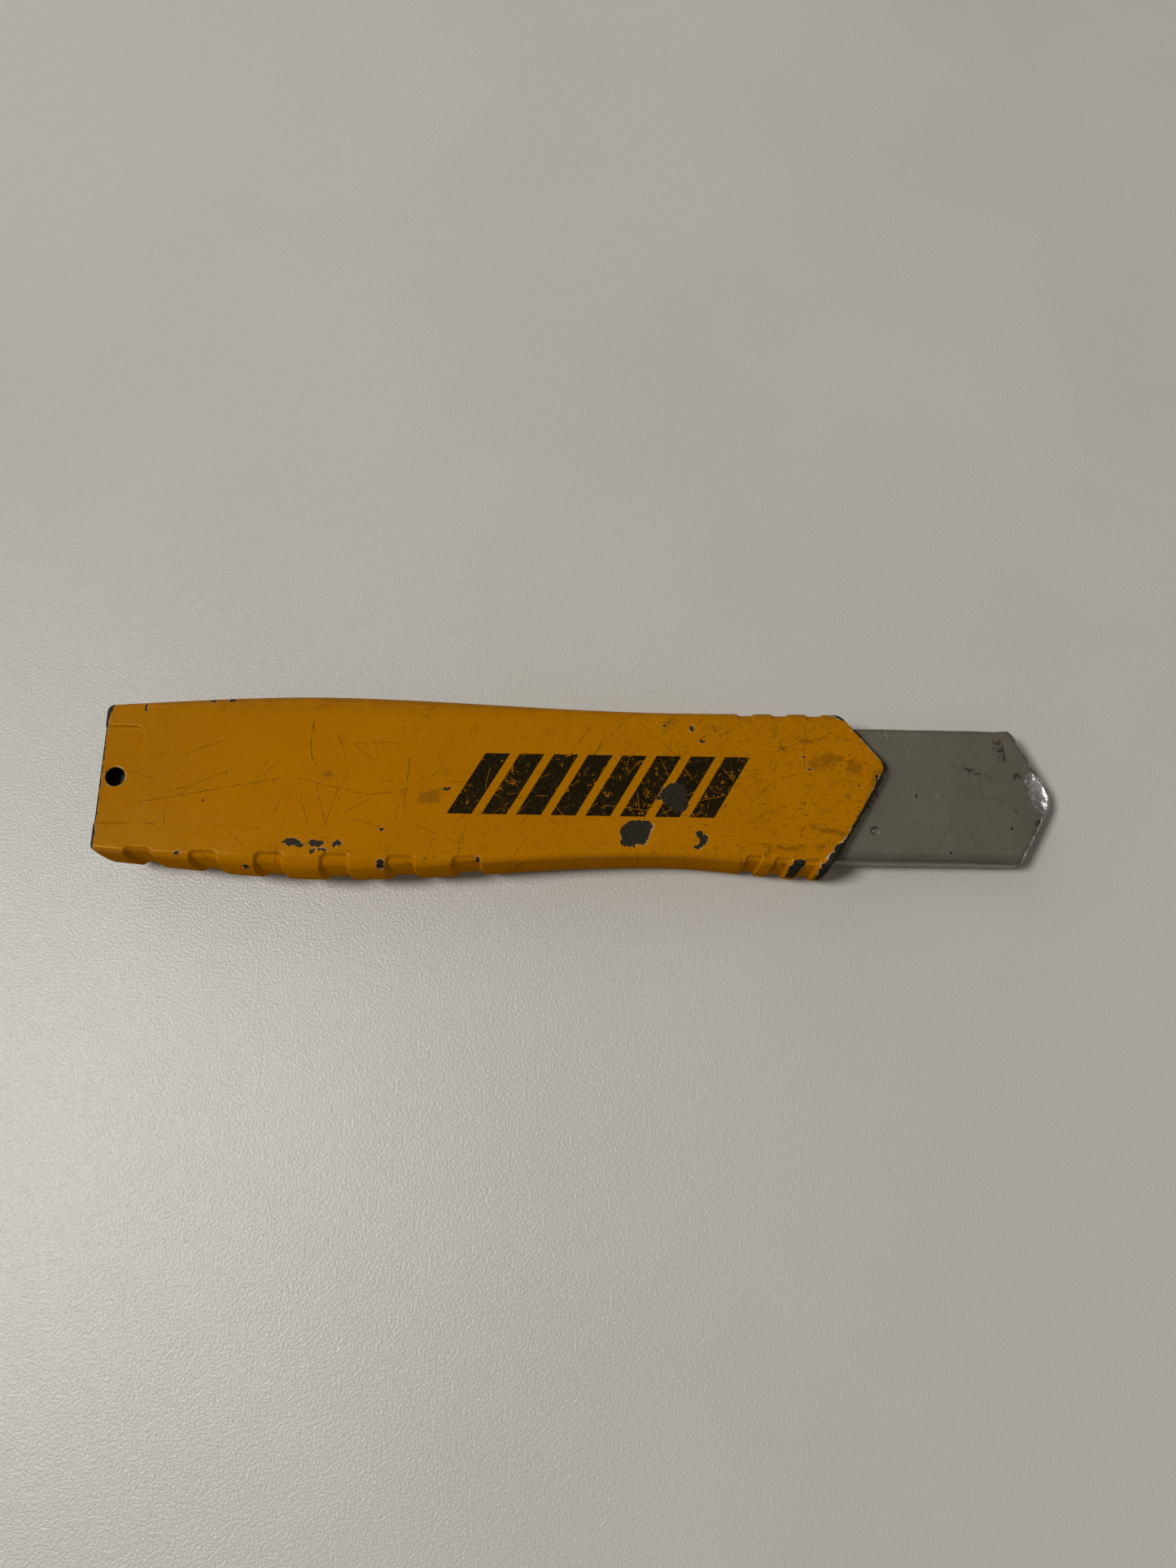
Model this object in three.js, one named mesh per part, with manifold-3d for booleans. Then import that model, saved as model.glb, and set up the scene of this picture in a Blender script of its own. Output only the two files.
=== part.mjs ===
// A metal-bodied snap-off knife for 18 mm segmented blades, in millimetres.
// +X runs from the butt to the nose, +Z out of the plain back of the handle, -Z out of the slider side,
// and -Y towards the cutting edge. The origin is on the centre line of the channel at the butt's end face.
import * as THREE from "three";
import { mergeVertices } from "three/addons/utils/BufferGeometryUtils.js";
import Module from "manifold-3d";

const wasm = await Module();
wasm.setup();

// ---------------------------------------------------------------- driving dimensions
const BLADE_WIDTH = 18;
const BLADE_THICK = 0.5;
const BLADE_LENGTH = 100;
const SNAP_ANGLE = THREE.MathUtils.degToRad(60); // score lines and nose edges, from the long axis
const SEGMENT = 10.4;
const SCORE_LINES = 7;
const OVERALL_LENGTH = 143.65; // butt face to sleeve tip
const BODY_LENGTH = 117.3; // butt face to the casting's nose
const BODY_HALF = 5; // half the thickness of the casting
const GAP = 0.1; // working clearance between flat faces
const FAR = 30; // beyond every surface

// wear sleeve, a folded steel channel that guides the blade
const SHEET = 1.05;
const SLEEVE_WIDTH = BLADE_WIDTH + 0.9 + 2 * SHEET;
const SLEEVE_HALF = 2;
const SLEEVE_BEND = 1;
const SLEEVE_START = 12.8;
const LIP_GAP = 9; // opening between the two folded lips
const NOSE_SLOPE = 13.2; // length over which the sleeve's back slopes down to the tip
const NOSE_DROP = 1.5;
const NOSE_SHEET = 0.6; // sheet left at the thinned tip
const DIMPLE = { x: 116.2, y: -6, radius: 0.65, depth: 0.25 };

// slider opening through the casting
const SLOT_WIDTH = 10;
const SLOT_END = 111;

// blade at rest, fully drawn in and lying on the lips
const BLADE_TIP = 137.5;
const BLADE_TAIL = BLADE_TIP - BLADE_LENGTH;
const BLADE_LOW = -0.85;
const BLADE_HIGH = BLADE_LOW + BLADE_THICK;
const EDGE_GRIND = 1.7;

// lock rack along the finger-side lip
const LOCK_PITCH = 5.5;
const LOCK_STEPS = 12; // notches that the slider travels through
const TOOTH = { x: 32, length: 2, reach: 6, low: -1.75, high: -1.15 };

// slider, riding in the lip gap behind the blade's tail
const CARRIER = { start: 14.1, end: 47, low: -0.25, high: 0.6, width: BLADE_WIDTH - 0.4 };
const PEG = { x: BLADE_TAIL + 4, shank: 1.2, head: 2.2, hole: 2.4 };
const BASE = { start: 14.2, end: 36.6, width: LIP_GAP - 0.6, saddleWidth: 13.2, saddle: 1.5 };
const LEAF = { start: 16.8, thick: 0.5, low: -2.9, width: 5 };
const BUTTON = { start: 16.9, end: 33.3, width: 5.2, crown: 8.9 };
const PRESS_ROOM = 0.6; // clear ahead of the button, which swings forward a little when pressed
const SLIDER_RIVETS = [
  ["rear", 15.4],
  ["front", 35.3],
];
const RIVET = { shank: 0.75, head: 1.15, headHeight: 0.4 };
const SPRING_RIVET_X = 18.7;
const STUD = { x: 27, radius: 0.9 };

// pins that hold the sleeve in the casting
const SLEEVE_PINS = { x: 105, y: 7.7, radius: 1 };

// plug that closes the butt
const CAP_DEPTH = 12.5;

// grip notches in the casting's sides: centres at the crease, lean from the long axis in degrees
const FINGER_NOTCHES = {
  first: 7.15,
  pitch: 9.66,
  count: 6,
  width: 4,
  depth: 0.6,
  lean: 82,
  corner: 0.7,
  overlap: 0.1,
};
const GUARD_NOTCHES = {
  first: 97.8,
  pitch: 4.19,
  count: 3,
  width: 2.1,
  depth: 0.6,
  lean: 66,
  corner: 0.3,
  overlap: 0.1,
};
const THUMB_NOTCHES = {
  first: 96.7,
  pitch: 5.2,
  count: 3,
  width: 2.3,
  depth: 0.3,
  lean: 90,
  corner: 0.5,
  overlap: 0,
};

// butt details on the back face
const PANEL = { length: 6, low: -7.2, high: 7.8, depth: 0.4, corner: 1.3 };
const LATCH_HOLE = { x: 2.35, radius: 1.4 };

// ---------------------------------------------------------------- materials
function finish(color, roughness, metalness) {
  return new THREE.MeshStandardMaterial({ color, roughness, metalness });
}

const YELLOW_PAINT = finish(0xb8790a, 0.42, 0.1);
const GREY_STEEL = finish(0x77746a, 0.45, 0.7);
const BRIGHT_STEEL = finish(0xb4b6b8, 0.28, 0.95);
const SPRING_STEEL = finish(0x8c9096, 0.32, 0.9);
const BLACK_PLASTIC = finish(0x18181a, 0.55, 0.0);

// ---------------------------------------------------------------- geometry to solid and back
function solid(geometry) {
  const g = geometry.clone();
  g.deleteAttribute("normal");
  g.deleteAttribute("uv");
  const merged = mergeVertices(g, 1e-4);
  return new wasm.Manifold(
    new wasm.Mesh({
      numProp: 3,
      vertProperties: merged.getAttribute("position").array,
      triVerts: new Uint32Array(merged.index.array),
    }),
  );
}

function part(name, shape, material) {
  const m = shape.getMesh();
  const g = new THREE.BufferGeometry();
  g.setAttribute("position", new THREE.BufferAttribute(m.vertProperties, 3));
  g.setIndex(new THREE.BufferAttribute(m.triVerts, 1));
  g.computeVertexNormals();
  const mesh = new THREE.Mesh(g, material);
  mesh.name = name;
  return mesh;
}

const join = (...shapes) => shapes.reduce((a, b) => a.add(b));
const cut = (shape, ...tools) => tools.reduce((a, b) => a.subtract(b), shape);

// A flat outline in X and Y, thickened from z0 to z1.
function plate(outline, z0, z1, curveSegments = 8) {
  const g = new THREE.ExtrudeGeometry(outline, { depth: z1 - z0, bevelEnabled: false, curveSegments });
  return solid(g.translate(0, 0, z0));
}

// A cross-section in Y and Z, run from x0 to x1.
function rail(section, x0, x1, curveSegments = 6) {
  const g = new THREE.ExtrudeGeometry(section, { depth: x1 - x0, bevelEnabled: false, curveSegments });
  const turn = new THREE.Matrix4().makeBasis(
    new THREE.Vector3(0, 1, 0),
    new THREE.Vector3(0, 0, 1),
    new THREE.Vector3(1, 0, 0),
  );
  return solid(g.applyMatrix4(turn).translate(x0, 0, 0));
}

// A side outline in X and Z, run from y0 to y1.
function wall(outline, y0, y1, curveSegments = 8) {
  const g = new THREE.ExtrudeGeometry(outline, { depth: y1 - y0, bevelEnabled: false, curveSegments });
  return solid(g.rotateX(Math.PI / 2).translate(0, y1, 0));
}

function box(x0, x1, y0, y1, z0, z1) {
  const g = new THREE.BoxGeometry(x1 - x0, y1 - y0, z1 - z0);
  return solid(g.translate((x0 + x1) / 2, (y0 + y1) / 2, (z0 + z1) / 2));
}

function rod(x, y, radius, z0, z1, segments = 24) {
  const g = new THREE.CylinderGeometry(radius, radius, z1 - z0, segments);
  return solid(g.rotateX(Math.PI / 2).translate(x, y, (z0 + z1) / 2));
}

function polygon(...points) {
  return new THREE.Shape(points.map(([x, y]) => new THREE.Vector2(x, y)));
}

function roundedRectangle(x0, x1, y0, y1, r) {
  const s = new THREE.Shape();
  s.moveTo(x0 + r, y0);
  s.lineTo(x1 - r, y0);
  s.absarc(x1 - r, y0 + r, r, -Math.PI / 2, 0);
  s.lineTo(x1, y1 - r);
  s.absarc(x1 - r, y1 - r, r, 0, Math.PI / 2);
  s.lineTo(x0 + r, y1);
  s.absarc(x0 + r, y1 - r, r, Math.PI / 2, Math.PI);
  s.lineTo(x0, y0 + r);
  s.absarc(x0 + r, y0 + r, r, Math.PI, 1.5 * Math.PI);
  return s;
}

// A closed outline with straight sides whose corners are rounded by the radius given with each.
function roundedPolygon(...corners) {
  const s = new THREE.Shape();
  corners.forEach(([x, y, r], i) => {
    const here = new THREE.Vector2(x, y);
    const before = corners[(i + corners.length - 1) % corners.length];
    const after = corners[(i + 1) % corners.length];
    const back = new THREE.Vector2(before[0], before[1]).sub(here).normalize();
    const ahead = new THREE.Vector2(after[0], after[1]).sub(here).normalize();
    const run = r / Math.tan(Math.acos(back.dot(ahead)) / 2);
    const a = here.clone().addScaledVector(back, run);
    const b = here.clone().addScaledVector(ahead, run);
    if (i === 0) s.moveTo(a.x, a.y);
    else s.lineTo(a.x, a.y);
    if (r > 0) s.quadraticCurveTo(x, y, b.x, b.y);
  });
  return s;
}

// Smooth interpolation through [x, value] stations, level at each station.
function along(stations, x) {
  const last = stations.length - 1;
  if (x <= stations[0][0]) return stations[0][1];
  if (x >= stations[last][0]) return stations[last][1];
  const i = stations.findIndex(([at]) => at > x) - 1;
  const [[x0, v0], [x1, v1]] = [stations[i], stations[i + 1]];
  return v0 + (v1 - v0) * THREE.MathUtils.smoothstep(x, x0, x1);
}

// ---------------------------------------------------------------- the casting's outer form
// Half widths: the handle swells, necks in and flares again on the finger side into a guard.
const SPINE_SIDE = [
  [-14, 11.3],
  [33, 13.85],
  [86, 12],
  [108, 12.25],
];
const FINGER_SIDE = [
  [-14, 10.93],
  [33, 14.07],
  [84, 11.15],
  [109, 12.85],
];
const SPINE_CORNER = [
  [0, 1.5],
  [33, 2.3],
  [86, 1.5],
  [110, 1.9],
];
const FINGER_CORNER = [
  [0, 1.05],
  [33, 2.75],
  [60, 1.35],
  [84, 1.1],
  [109, 1.75],
];
const CORNER_STEPS = 7;

// Points round a quarter circle of radius r, from the side wall towards the flat face.
function corner(halfWidth, halfHeight, r, ySign, zSign) {
  const points = [];
  for (let i = 0; i <= CORNER_STEPS; i++) {
    const a = (i / CORNER_STEPS) * (Math.PI / 2);
    const y = halfWidth - r + r * Math.cos(a);
    const z = halfHeight - r + r * Math.sin(a);
    points.push([ySign * y, zSign * z]);
  }
  return ySign * zSign > 0 ? points : points.reverse();
}

// The closed outer section at x, drawn in all round by a given depth.
function outerSection(x, inset) {
  const spine = along(SPINE_SIDE, x) - inset;
  const finger = along(FINGER_SIDE, x) - inset;
  const r1 = along(SPINE_CORNER, x) - inset;
  const r2 = along(FINGER_CORNER, x) - inset;
  const h = BODY_HALF - inset;
  return [
    ...corner(spine, h, r1, 1, 1),
    ...corner(finger, h, r2, -1, 1),
    ...corner(finger, h, r2, -1, -1),
    ...corner(spine, h, r1, 1, -1),
  ];
}

// A capped cylinder whose rings are reshaped into the outer sections.
function loft(x0, x1, rows, inset) {
  const ring = 4 * (CORNER_STEPS + 1);
  const g = new THREE.CylinderGeometry(1, 1, 1, ring, rows);
  const position = g.getAttribute("position");
  for (let i = 0; i < position.count; i++) {
    const x = x0 + (position.getY(i) + 0.5) * (x1 - x0);
    const radius = Math.hypot(position.getX(i), position.getZ(i));
    const angle = Math.atan2(position.getX(i), position.getZ(i));
    const index = (Math.round((angle / (2 * Math.PI)) * ring) + ring) % ring;
    const [y, z] = outerSection(x, inset)[index];
    position.setXYZ(i, x, radius > 0.5 ? y : 0, radius > 0.5 ? z : 0);
  }
  return solid(g);
}

// The handle seen square on: the butt's corners, and a nose cut at the snap angle on the finger side.
function planOutline() {
  const tip = { x: BODY_LENGTH + 0.4, y: 3.5, round: 1.5 };
  const spineAngle = THREE.MathUtils.degToRad(50);
  return roundedPolygon(
    [0, -11.62, 1.4],
    [30, -FAR, 0],
    [tip.x - (tip.y + FAR) / Math.tan(SNAP_ANGLE), -FAR, 0],
    [tip.x, tip.y, tip.round],
    [tip.x - (FAR - tip.y) / Math.tan(spineAngle), FAR, 0],
    [30, FAR, 0],
    [0, 11.87, 2.2],
  );
}

// A notch cutter in plan, leaning towards the butt as it leaves the handle, with rounded inner corners.
function notchOutline(x, notch, side, crease) {
  const half = notch.width / 2;
  const outer = crease + 8;
  const lean = (outer - crease) / Math.tan(THREE.MathUtils.degToRad(notch.lean));
  return roundedPolygon(
    [x - half - lean, side * outer, 0],
    [x + half - lean, side * outer, 0],
    [x + half, side * crease, notch.corner],
    [x - half, side * crease, notch.corner],
  );
}

// Cutters for one row of notches: from the crease outwards, down to a floor parallel to the outer skin.
function notchTools(notch, side, edge, corners) {
  const core = loft(-2, BODY_LENGTH + 4, 36, notch.depth);
  const tools = [];
  for (let i = 0; i < notch.count; i++) {
    const x = notch.first + i * notch.pitch;
    const crease = along(edge, x) - along(corners, x) - notch.overlap;
    tools.push(plate(notchOutline(x, notch, side, crease), -FAR, FAR, 4).subtract(core));
  }
  return tools;
}

// ---------------------------------------------------------------- casting and sleeve
const pinHoles = () => [-1, 1].map((side) => {
  return rod(SLEEVE_PINS.x, side * SLEEVE_PINS.y, SLEEVE_PINS.radius + 0.05, -FAR, 0);
});

function handleBody() {
  const outer = loft(-2, BODY_LENGTH + 4, 44, 0).intersect(plate(planOutline(), -9, 9));
  const half = SLEEVE_WIDTH / 2 + GAP;
  const rise = SLEEVE_HALF + GAP;
  const channel = box(-5, BODY_LENGTH + 5, -half, half, -rise, rise);
  const slotHalf = SLOT_WIDTH / 2;
  const slot = plate(roundedRectangle(-20, SLOT_END, -slotHalf, slotHalf, slotHalf - 0.5), -9, 0);
  const panelOutline = roundedRectangle(-9, PANEL.length, PANEL.low, PANEL.high, PANEL.corner);
  const panel = plate(panelOutline, BODY_HALF - PANEL.depth, 9);
  const latchHole = rod(LATCH_HOLE.x, 0, LATCH_HOLE.radius, 0, 9, 32);
  const notches = [
    ...notchTools(FINGER_NOTCHES, -1, FINGER_SIDE, FINGER_CORNER),
    ...notchTools(GUARD_NOTCHES, -1, FINGER_SIDE, FINGER_CORNER),
    ...notchTools(THUMB_NOTCHES, 1, SPINE_SIDE, SPINE_CORNER),
  ];
  return cut(outer, channel, slot, panel, latchHole, ...pinHoles(), ...notches);
}

// The folded section of the sleeve, open between its lips on the slider side.
function sleeveSection() {
  const w = SLEEVE_WIDTH / 2;
  const h = SLEEVE_HALF;
  const r = SLEEVE_BEND;
  const lip = LIP_GAP / 2;
  const s = new THREE.Shape();
  s.moveTo(lip, -h);
  s.lineTo(w - r, -h);
  s.absarc(w - r, -h + r, r, -Math.PI / 2, 0);
  s.lineTo(w, h - r);
  s.absarc(w - r, h - r, r, 0, Math.PI / 2);
  s.lineTo(-w + r, h);
  s.absarc(-w + r, h - r, r, Math.PI / 2, Math.PI);
  s.lineTo(-w, -h + r);
  s.absarc(-w + r, -h + r, r, Math.PI, 1.5 * Math.PI);
  s.lineTo(-lip, -h);
  s.lineTo(-lip, -h + SHEET);
  s.lineTo(-w + SHEET, -h + SHEET);
  s.lineTo(-w + SHEET, h - SHEET);
  s.lineTo(w - SHEET, h - SHEET);
  s.lineTo(w - SHEET, -h + SHEET);
  s.lineTo(lip, -h + SHEET);
  return s;
}

// Square notches along the finger-side lip, which the lock tooth drops into.
function lockNotches() {
  const half = TOOTH.length / 2 + 0.2;
  const tools = [];
  for (let i = 0; i <= LOCK_STEPS; i++) {
    const x = TOOTH.x + i * LOCK_PITCH;
    tools.push(box(x - half, x + half, -TOOTH.reach - 0.3, 0, -9, 0));
  }
  return tools;
}

function wearSleeve() {
  const w = SLEEVE_WIDTH / 2;
  const beyond = OVERALL_LENGTH + 1;
  const beyondSide = w + 1;
  const tip = OVERALL_LENGTH + 0.4;
  const nose = roundedPolygon(
    [SLEEVE_START, -beyondSide, 0],
    [tip - beyondSide / Math.tan(SNAP_ANGLE), -beyondSide, 0],
    [tip, 0, 2.8],
    [tip - beyondSide / Math.tan(SNAP_ANGLE), beyondSide, 0],
    [SLEEVE_START, beyondSide, 0],
  );
  const slopeStart = OVERALL_LENGTH - NOSE_SLOPE;
  const drop = (NOSE_DROP * (beyond - slopeStart)) / NOSE_SLOPE;
  const innerDrop = ((NOSE_DROP - SHEET + NOSE_SHEET) * (beyond - slopeStart)) / NOSE_SLOPE;
  const slope = [
    [slopeStart, SLEEVE_HALF],
    [beyond, SLEEVE_HALF - drop],
  ];
  const above = polygon(...slope, [beyond, 9], [slopeStart, 9]);
  const inside = SLEEVE_HALF - SHEET;
  const under = polygon(
    [slopeStart, inside],
    [beyond, inside - innerDrop],
    [beyond, SLEEVE_HALF],
    [slopeStart, SLEEVE_HALF],
  );
  const slopedBack = wall(under, -w + SHEET - 0.1, w - SHEET + 0.1);
  const shell = join(rail(sleeveSection(), SLEEVE_START, beyond), slopedBack);
  const dimple = rod(DIMPLE.x, DIMPLE.y, DIMPLE.radius, SLEEVE_HALF - DIMPLE.depth, 9);
  return cut(
    shell.intersect(plate(nose, -9, 9)),
    wall(above, -w - 1, w + 1),
    dimple,
    ...lockNotches(),
    ...pinHoles(),
  );
}

function sleevePin(side) {
  const top = -SLEEVE_HALF + SHEET - 0.05;
  return rod(SLEEVE_PINS.x, side * SLEEVE_PINS.y, SLEEVE_PINS.radius, -BODY_HALF + 0.2, top);
}

// ---------------------------------------------------------------- blade
// A flat strip ground from both faces to a cutting edge on the finger side.
function bladeSection() {
  const w = BLADE_WIDTH / 2;
  const edge = (BLADE_LOW + BLADE_HIGH) / 2;
  return polygon(
    [-w + EDGE_GRIND, BLADE_LOW],
    [w, BLADE_LOW],
    [w, BLADE_HIGH],
    [-w + EDGE_GRIND, BLADE_HIGH],
    [-w, edge + 0.02],
    [-w, edge - 0.02],
  );
}

function blade() {
  const w = BLADE_WIDTH / 2;
  const slant = BLADE_WIDTH / Math.tan(SNAP_ANGLE);
  const outline = polygon(
    [BLADE_TAIL, -w + 2],
    [BLADE_TAIL + 2.6, -w - 0.6],
    [BLADE_TIP + 0.6 / Math.tan(SNAP_ANGLE), -w - 0.6],
    [BLADE_TIP - slant - 0.6 / Math.tan(SNAP_ANGLE), w + 0.6],
    [BLADE_TAIL + 2.6, w + 0.6],
    [BLADE_TAIL, w - 2],
  );
  const strip = rail(bladeSection(), BLADE_TAIL, BLADE_TIP + 2).intersect(plate(outline, -2, 2));
  const reach = w + 2;
  const lean = reach / Math.tan(SNAP_ANGLE);
  const half = 0.2;
  const depth = 0.15;
  const grooves = [];
  for (let i = 1; i <= SCORE_LINES; i++) {
    const x = BLADE_TIP - slant / 2 - i * SEGMENT;
    const line = polygon(
      [x + lean - half, -reach],
      [x + lean + half, -reach],
      [x - lean + half, reach],
      [x - lean - half, reach],
    );
    grooves.push(plate(line, BLADE_LOW - 1, BLADE_LOW + depth));
  }
  return cut(strip, rod(PEG.x, 0, PEG.hole, -2, 2, 32), ...grooves);
}

// ---------------------------------------------------------------- slider
// The stamped carrier lies on the blade's back and runs on behind its tail to meet the slider base.
function bladeCarrier() {
  const half = CARRIER.width / 2;
  const sheet = plate(
    roundedRectangle(CARRIER.start, CARRIER.end, -half, half, 1.5),
    CARRIER.low,
    CARRIER.high,
  );
  const window = box(TOOTH.x - 2.2, TOOTH.x + 1.8, -7.2, 2.8, -9, 9);
  const rivetHoles = SLIDER_RIVETS.map(([, x]) => rod(x, 0, RIVET.shank + 0.05, -9, 9, 20));
  return cut(sheet, window, rod(PEG.x, 0, PEG.shank + 0.05, -9, 9), ...rivetHoles);
}

function bladePeg() {
  return join(
    rod(PEG.x, 0, PEG.shank, CARRIER.low - 0.1, CARRIER.high, 24),
    rod(PEG.x, 0, PEG.head, BLADE_LOW - 0.25, CARRIER.low - 0.03, 32),
  );
}

// The moulded slider body: a shoe between the lips and a wider saddle outside the casting.
function sliderBase() {
  const half = BASE.width / 2;
  const shoeTop = CARRIER.low - 0.05;
  const saddleTop = -BODY_HALF - 0.25;
  const saddleLow = saddleTop - BASE.saddle;
  const saddleHalf = BASE.saddleWidth / 2;
  const shoe = plate(roundedRectangle(BASE.start, BASE.end, -half, half, 1.2), saddleLow, shoeTop);
  const saddle = plate(
    roundedRectangle(BASE.start - 0.7, BASE.end + 1.2, -saddleHalf, saddleHalf, 3),
    saddleLow,
    saddleTop,
  );
  const wellHalf = BUTTON.width / 2 + 0.25;
  const leafTop = LEAF.low + LEAF.thick;
  const well = box(LEAF.start - 0.4, BUTTON.end + PRESS_ROOM, -wellHalf, wellHalf, -9, leafTop + 0.05);
  const rise = box(20.6, BUTTON.end + PRESS_ROOM, -wellHalf, wellHalf, -9, 9);
  const toothWindow = box(TOOTH.x - 2.2, TOOTH.x + 1.8, -9, 0, TOOTH.low - 0.3, 9);
  const shanks = SLIDER_RIVETS.map(([, x]) => rod(x, 0, RIVET.shank + 0.05, -9, 9, 20));
  const heads = SLIDER_RIVETS.map(([, x]) => {
    return rod(x, 0, RIVET.head + 0.1, -9, saddleLow + RIVET.headHeight + 0.2, 24);
  });
  const springShank = rod(SPRING_RIVET_X, 0, RIVET.shank + 0.05, -9, -1.2, 20);
  return cut(join(shoe, saddle), well, rise, toothWindow, springShank, ...shanks, ...heads);
}

function sliderRivet(x) {
  const headTop = -BODY_HALF - 0.25 - BASE.saddle + RIVET.headHeight + 0.15;
  return join(
    rod(x, 0, RIVET.shank, headTop - 0.1, CARRIER.high, 20),
    rod(x, 0, RIVET.head, headTop - RIVET.headHeight, headTop, 24),
  );
}

// The lock spring: a leaf clamped at its rear, with the lock tooth bent up at its free end.
function lockSpring() {
  const half = LEAF.width / 2;
  const top = LEAF.low + LEAF.thick;
  const x0 = TOOTH.x - TOOTH.length / 2;
  const x1 = TOOTH.x + TOOTH.length / 2;
  const leaf = box(LEAF.start, x1, -half, half, LEAF.low, top);
  const riser = box(x0, x1, -half, -half + 0.6, LEAF.low, TOOTH.high);
  const tooth = box(x0, x1, -TOOTH.reach, -half + 0.6, TOOTH.low, TOOTH.high);
  return cut(
    join(leaf, riser, tooth),
    rod(SPRING_RIVET_X, 0, RIVET.shank + 0.2, -9, 0, 20),
    rod(STUD.x, 0, STUD.radius + 0.05, -9, 0, 20),
  );
}

// The head stands clear of the leaf, whose rear end dips as the button is pressed.
function springRivet() {
  const headTop = LEAF.low - 0.32;
  return join(
    rod(SPRING_RIVET_X, 0, RIVET.shank, headTop - 0.05, -1.3, 20),
    rod(SPRING_RIVET_X, 0, RIVET.head, headTop - RIVET.headHeight, headTop, 24),
  );
}

// The push button, arched along its length and ribbed across, with a stud moulded through the leaf.
function thumbButton() {
  const half = BUTTON.width / 2;
  const seat = LEAF.low - 0.02;
  const shoulder = -BODY_HALF - 1.4;
  const middle = (BUTTON.start + BUTTON.end) / 2;
  const arch = new THREE.Shape();
  arch.moveTo(BUTTON.start, seat);
  arch.lineTo(BUTTON.start, shoulder);
  arch.quadraticCurveTo(middle, -2 * BUTTON.crown - shoulder, BUTTON.end, shoulder);
  arch.lineTo(BUTTON.end, seat);
  const grooves = [];
  const ribPitch = 2;
  const grooveWidth = 0.8;
  const grooveFloor = -BUTTON.crown + 1.2;
  for (let x = BUTTON.start + 3.2; x < BUTTON.end - 3; x += ribPitch) {
    grooves.push(box(x, x + grooveWidth, -9, 9, -20, grooveFloor));
  }
  const rivetWell = rod(SPRING_RIVET_X, 0, RIVET.head + 0.3, LEAF.low - 1.1, 0, 24);
  const stud = rod(STUD.x, 0, STUD.radius, seat - 0.5, LEAF.low + LEAF.thick + 0.1, 20);
  return join(cut(wall(arch, -half, half, 20), rivetWell, ...grooves), stud);
}

// ---------------------------------------------------------------- end cap
function endCap() {
  const half = SLEEVE_WIDTH / 2 - 0.05;
  const rise = SLEEVE_HALF - 0.05;
  const keyHalf = SLOT_WIDTH / 2 - 0.15;
  const plug = box(0, CAP_DEPTH, -half, half, -rise, rise);
  const key = box(0, CAP_DEPTH, -keyHalf, keyHalf, -BODY_HALF, 0);
  return join(plug, key);
}

// ---------------------------------------------------------------- assembly
const knife = new THREE.Group();
knife.add(part("handle_body", handleBody(), YELLOW_PAINT));
knife.add(part("wear_sleeve", wearSleeve(), GREY_STEEL));
knife.add(part("sleeve_pin_spine", sleevePin(1), BRIGHT_STEEL));
knife.add(part("sleeve_pin_finger", sleevePin(-1), BRIGHT_STEEL));
knife.add(part("blade", blade(), BRIGHT_STEEL));
knife.add(part("blade_carrier", bladeCarrier(), SPRING_STEEL));
knife.add(part("blade_peg", bladePeg(), BRIGHT_STEEL));
knife.add(part("slider_base", sliderBase(), BLACK_PLASTIC));
for (const [end, x] of SLIDER_RIVETS) {
  knife.add(part("slider_rivet_" + end, sliderRivet(x), BRIGHT_STEEL));
}
knife.add(part("lock_spring", lockSpring(), SPRING_STEEL));
knife.add(part("spring_rivet", springRivet(), BRIGHT_STEEL));
knife.add(part("thumb_button", thumbButton(), BLACK_PLASTIC));
knife.add(part("end_cap", endCap(), BLACK_PLASTIC));

export default knife;
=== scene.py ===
# Snap-off knife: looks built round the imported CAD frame. Lengths in this file are millimetres unless their
# name ends in _M; they are turned into metres where meshes, lights and the camera are made.
import math

import bpy
import numpy as np
import openvdb
from mathutils import Matrix, Vector


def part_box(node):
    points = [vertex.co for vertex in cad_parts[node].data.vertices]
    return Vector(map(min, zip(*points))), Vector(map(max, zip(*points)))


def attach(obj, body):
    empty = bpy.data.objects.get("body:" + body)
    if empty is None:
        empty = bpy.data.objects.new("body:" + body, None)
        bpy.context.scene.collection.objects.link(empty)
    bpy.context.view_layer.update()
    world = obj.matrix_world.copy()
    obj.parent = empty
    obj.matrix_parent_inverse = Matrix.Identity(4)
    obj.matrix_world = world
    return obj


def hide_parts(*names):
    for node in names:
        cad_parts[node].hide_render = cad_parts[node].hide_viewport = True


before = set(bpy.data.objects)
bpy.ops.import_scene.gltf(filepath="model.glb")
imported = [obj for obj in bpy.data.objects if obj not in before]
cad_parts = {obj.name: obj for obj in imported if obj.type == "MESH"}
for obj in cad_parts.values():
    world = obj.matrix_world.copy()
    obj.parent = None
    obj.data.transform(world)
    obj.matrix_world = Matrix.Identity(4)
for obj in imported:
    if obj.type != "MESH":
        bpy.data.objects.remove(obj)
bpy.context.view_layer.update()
MM = 0.001

# ------------------------------------------------------------------ shared dimensions
BODY_HALF = 5.0
NOSE_TIP = (117.7, 3.5)  # where the two nose edges would meet
NOSE_LOW_ANGLE = math.radians(60)
NOSE_HIGH_ANGLE = math.radians(50)
SLEEVE_TIP_X = 144.05
SLEEVE_HALF_W = 10.5
SLEEVE_HALF_H = 2.0
SHEET = 1.05
SLEEVE_START = 12.8
SLOPE_START = 130.45
SLOPE_LENGTH = 13.2
SLEEVE_PINS = dict(x=105.0, y=7.7, radius=1.05)

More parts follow.
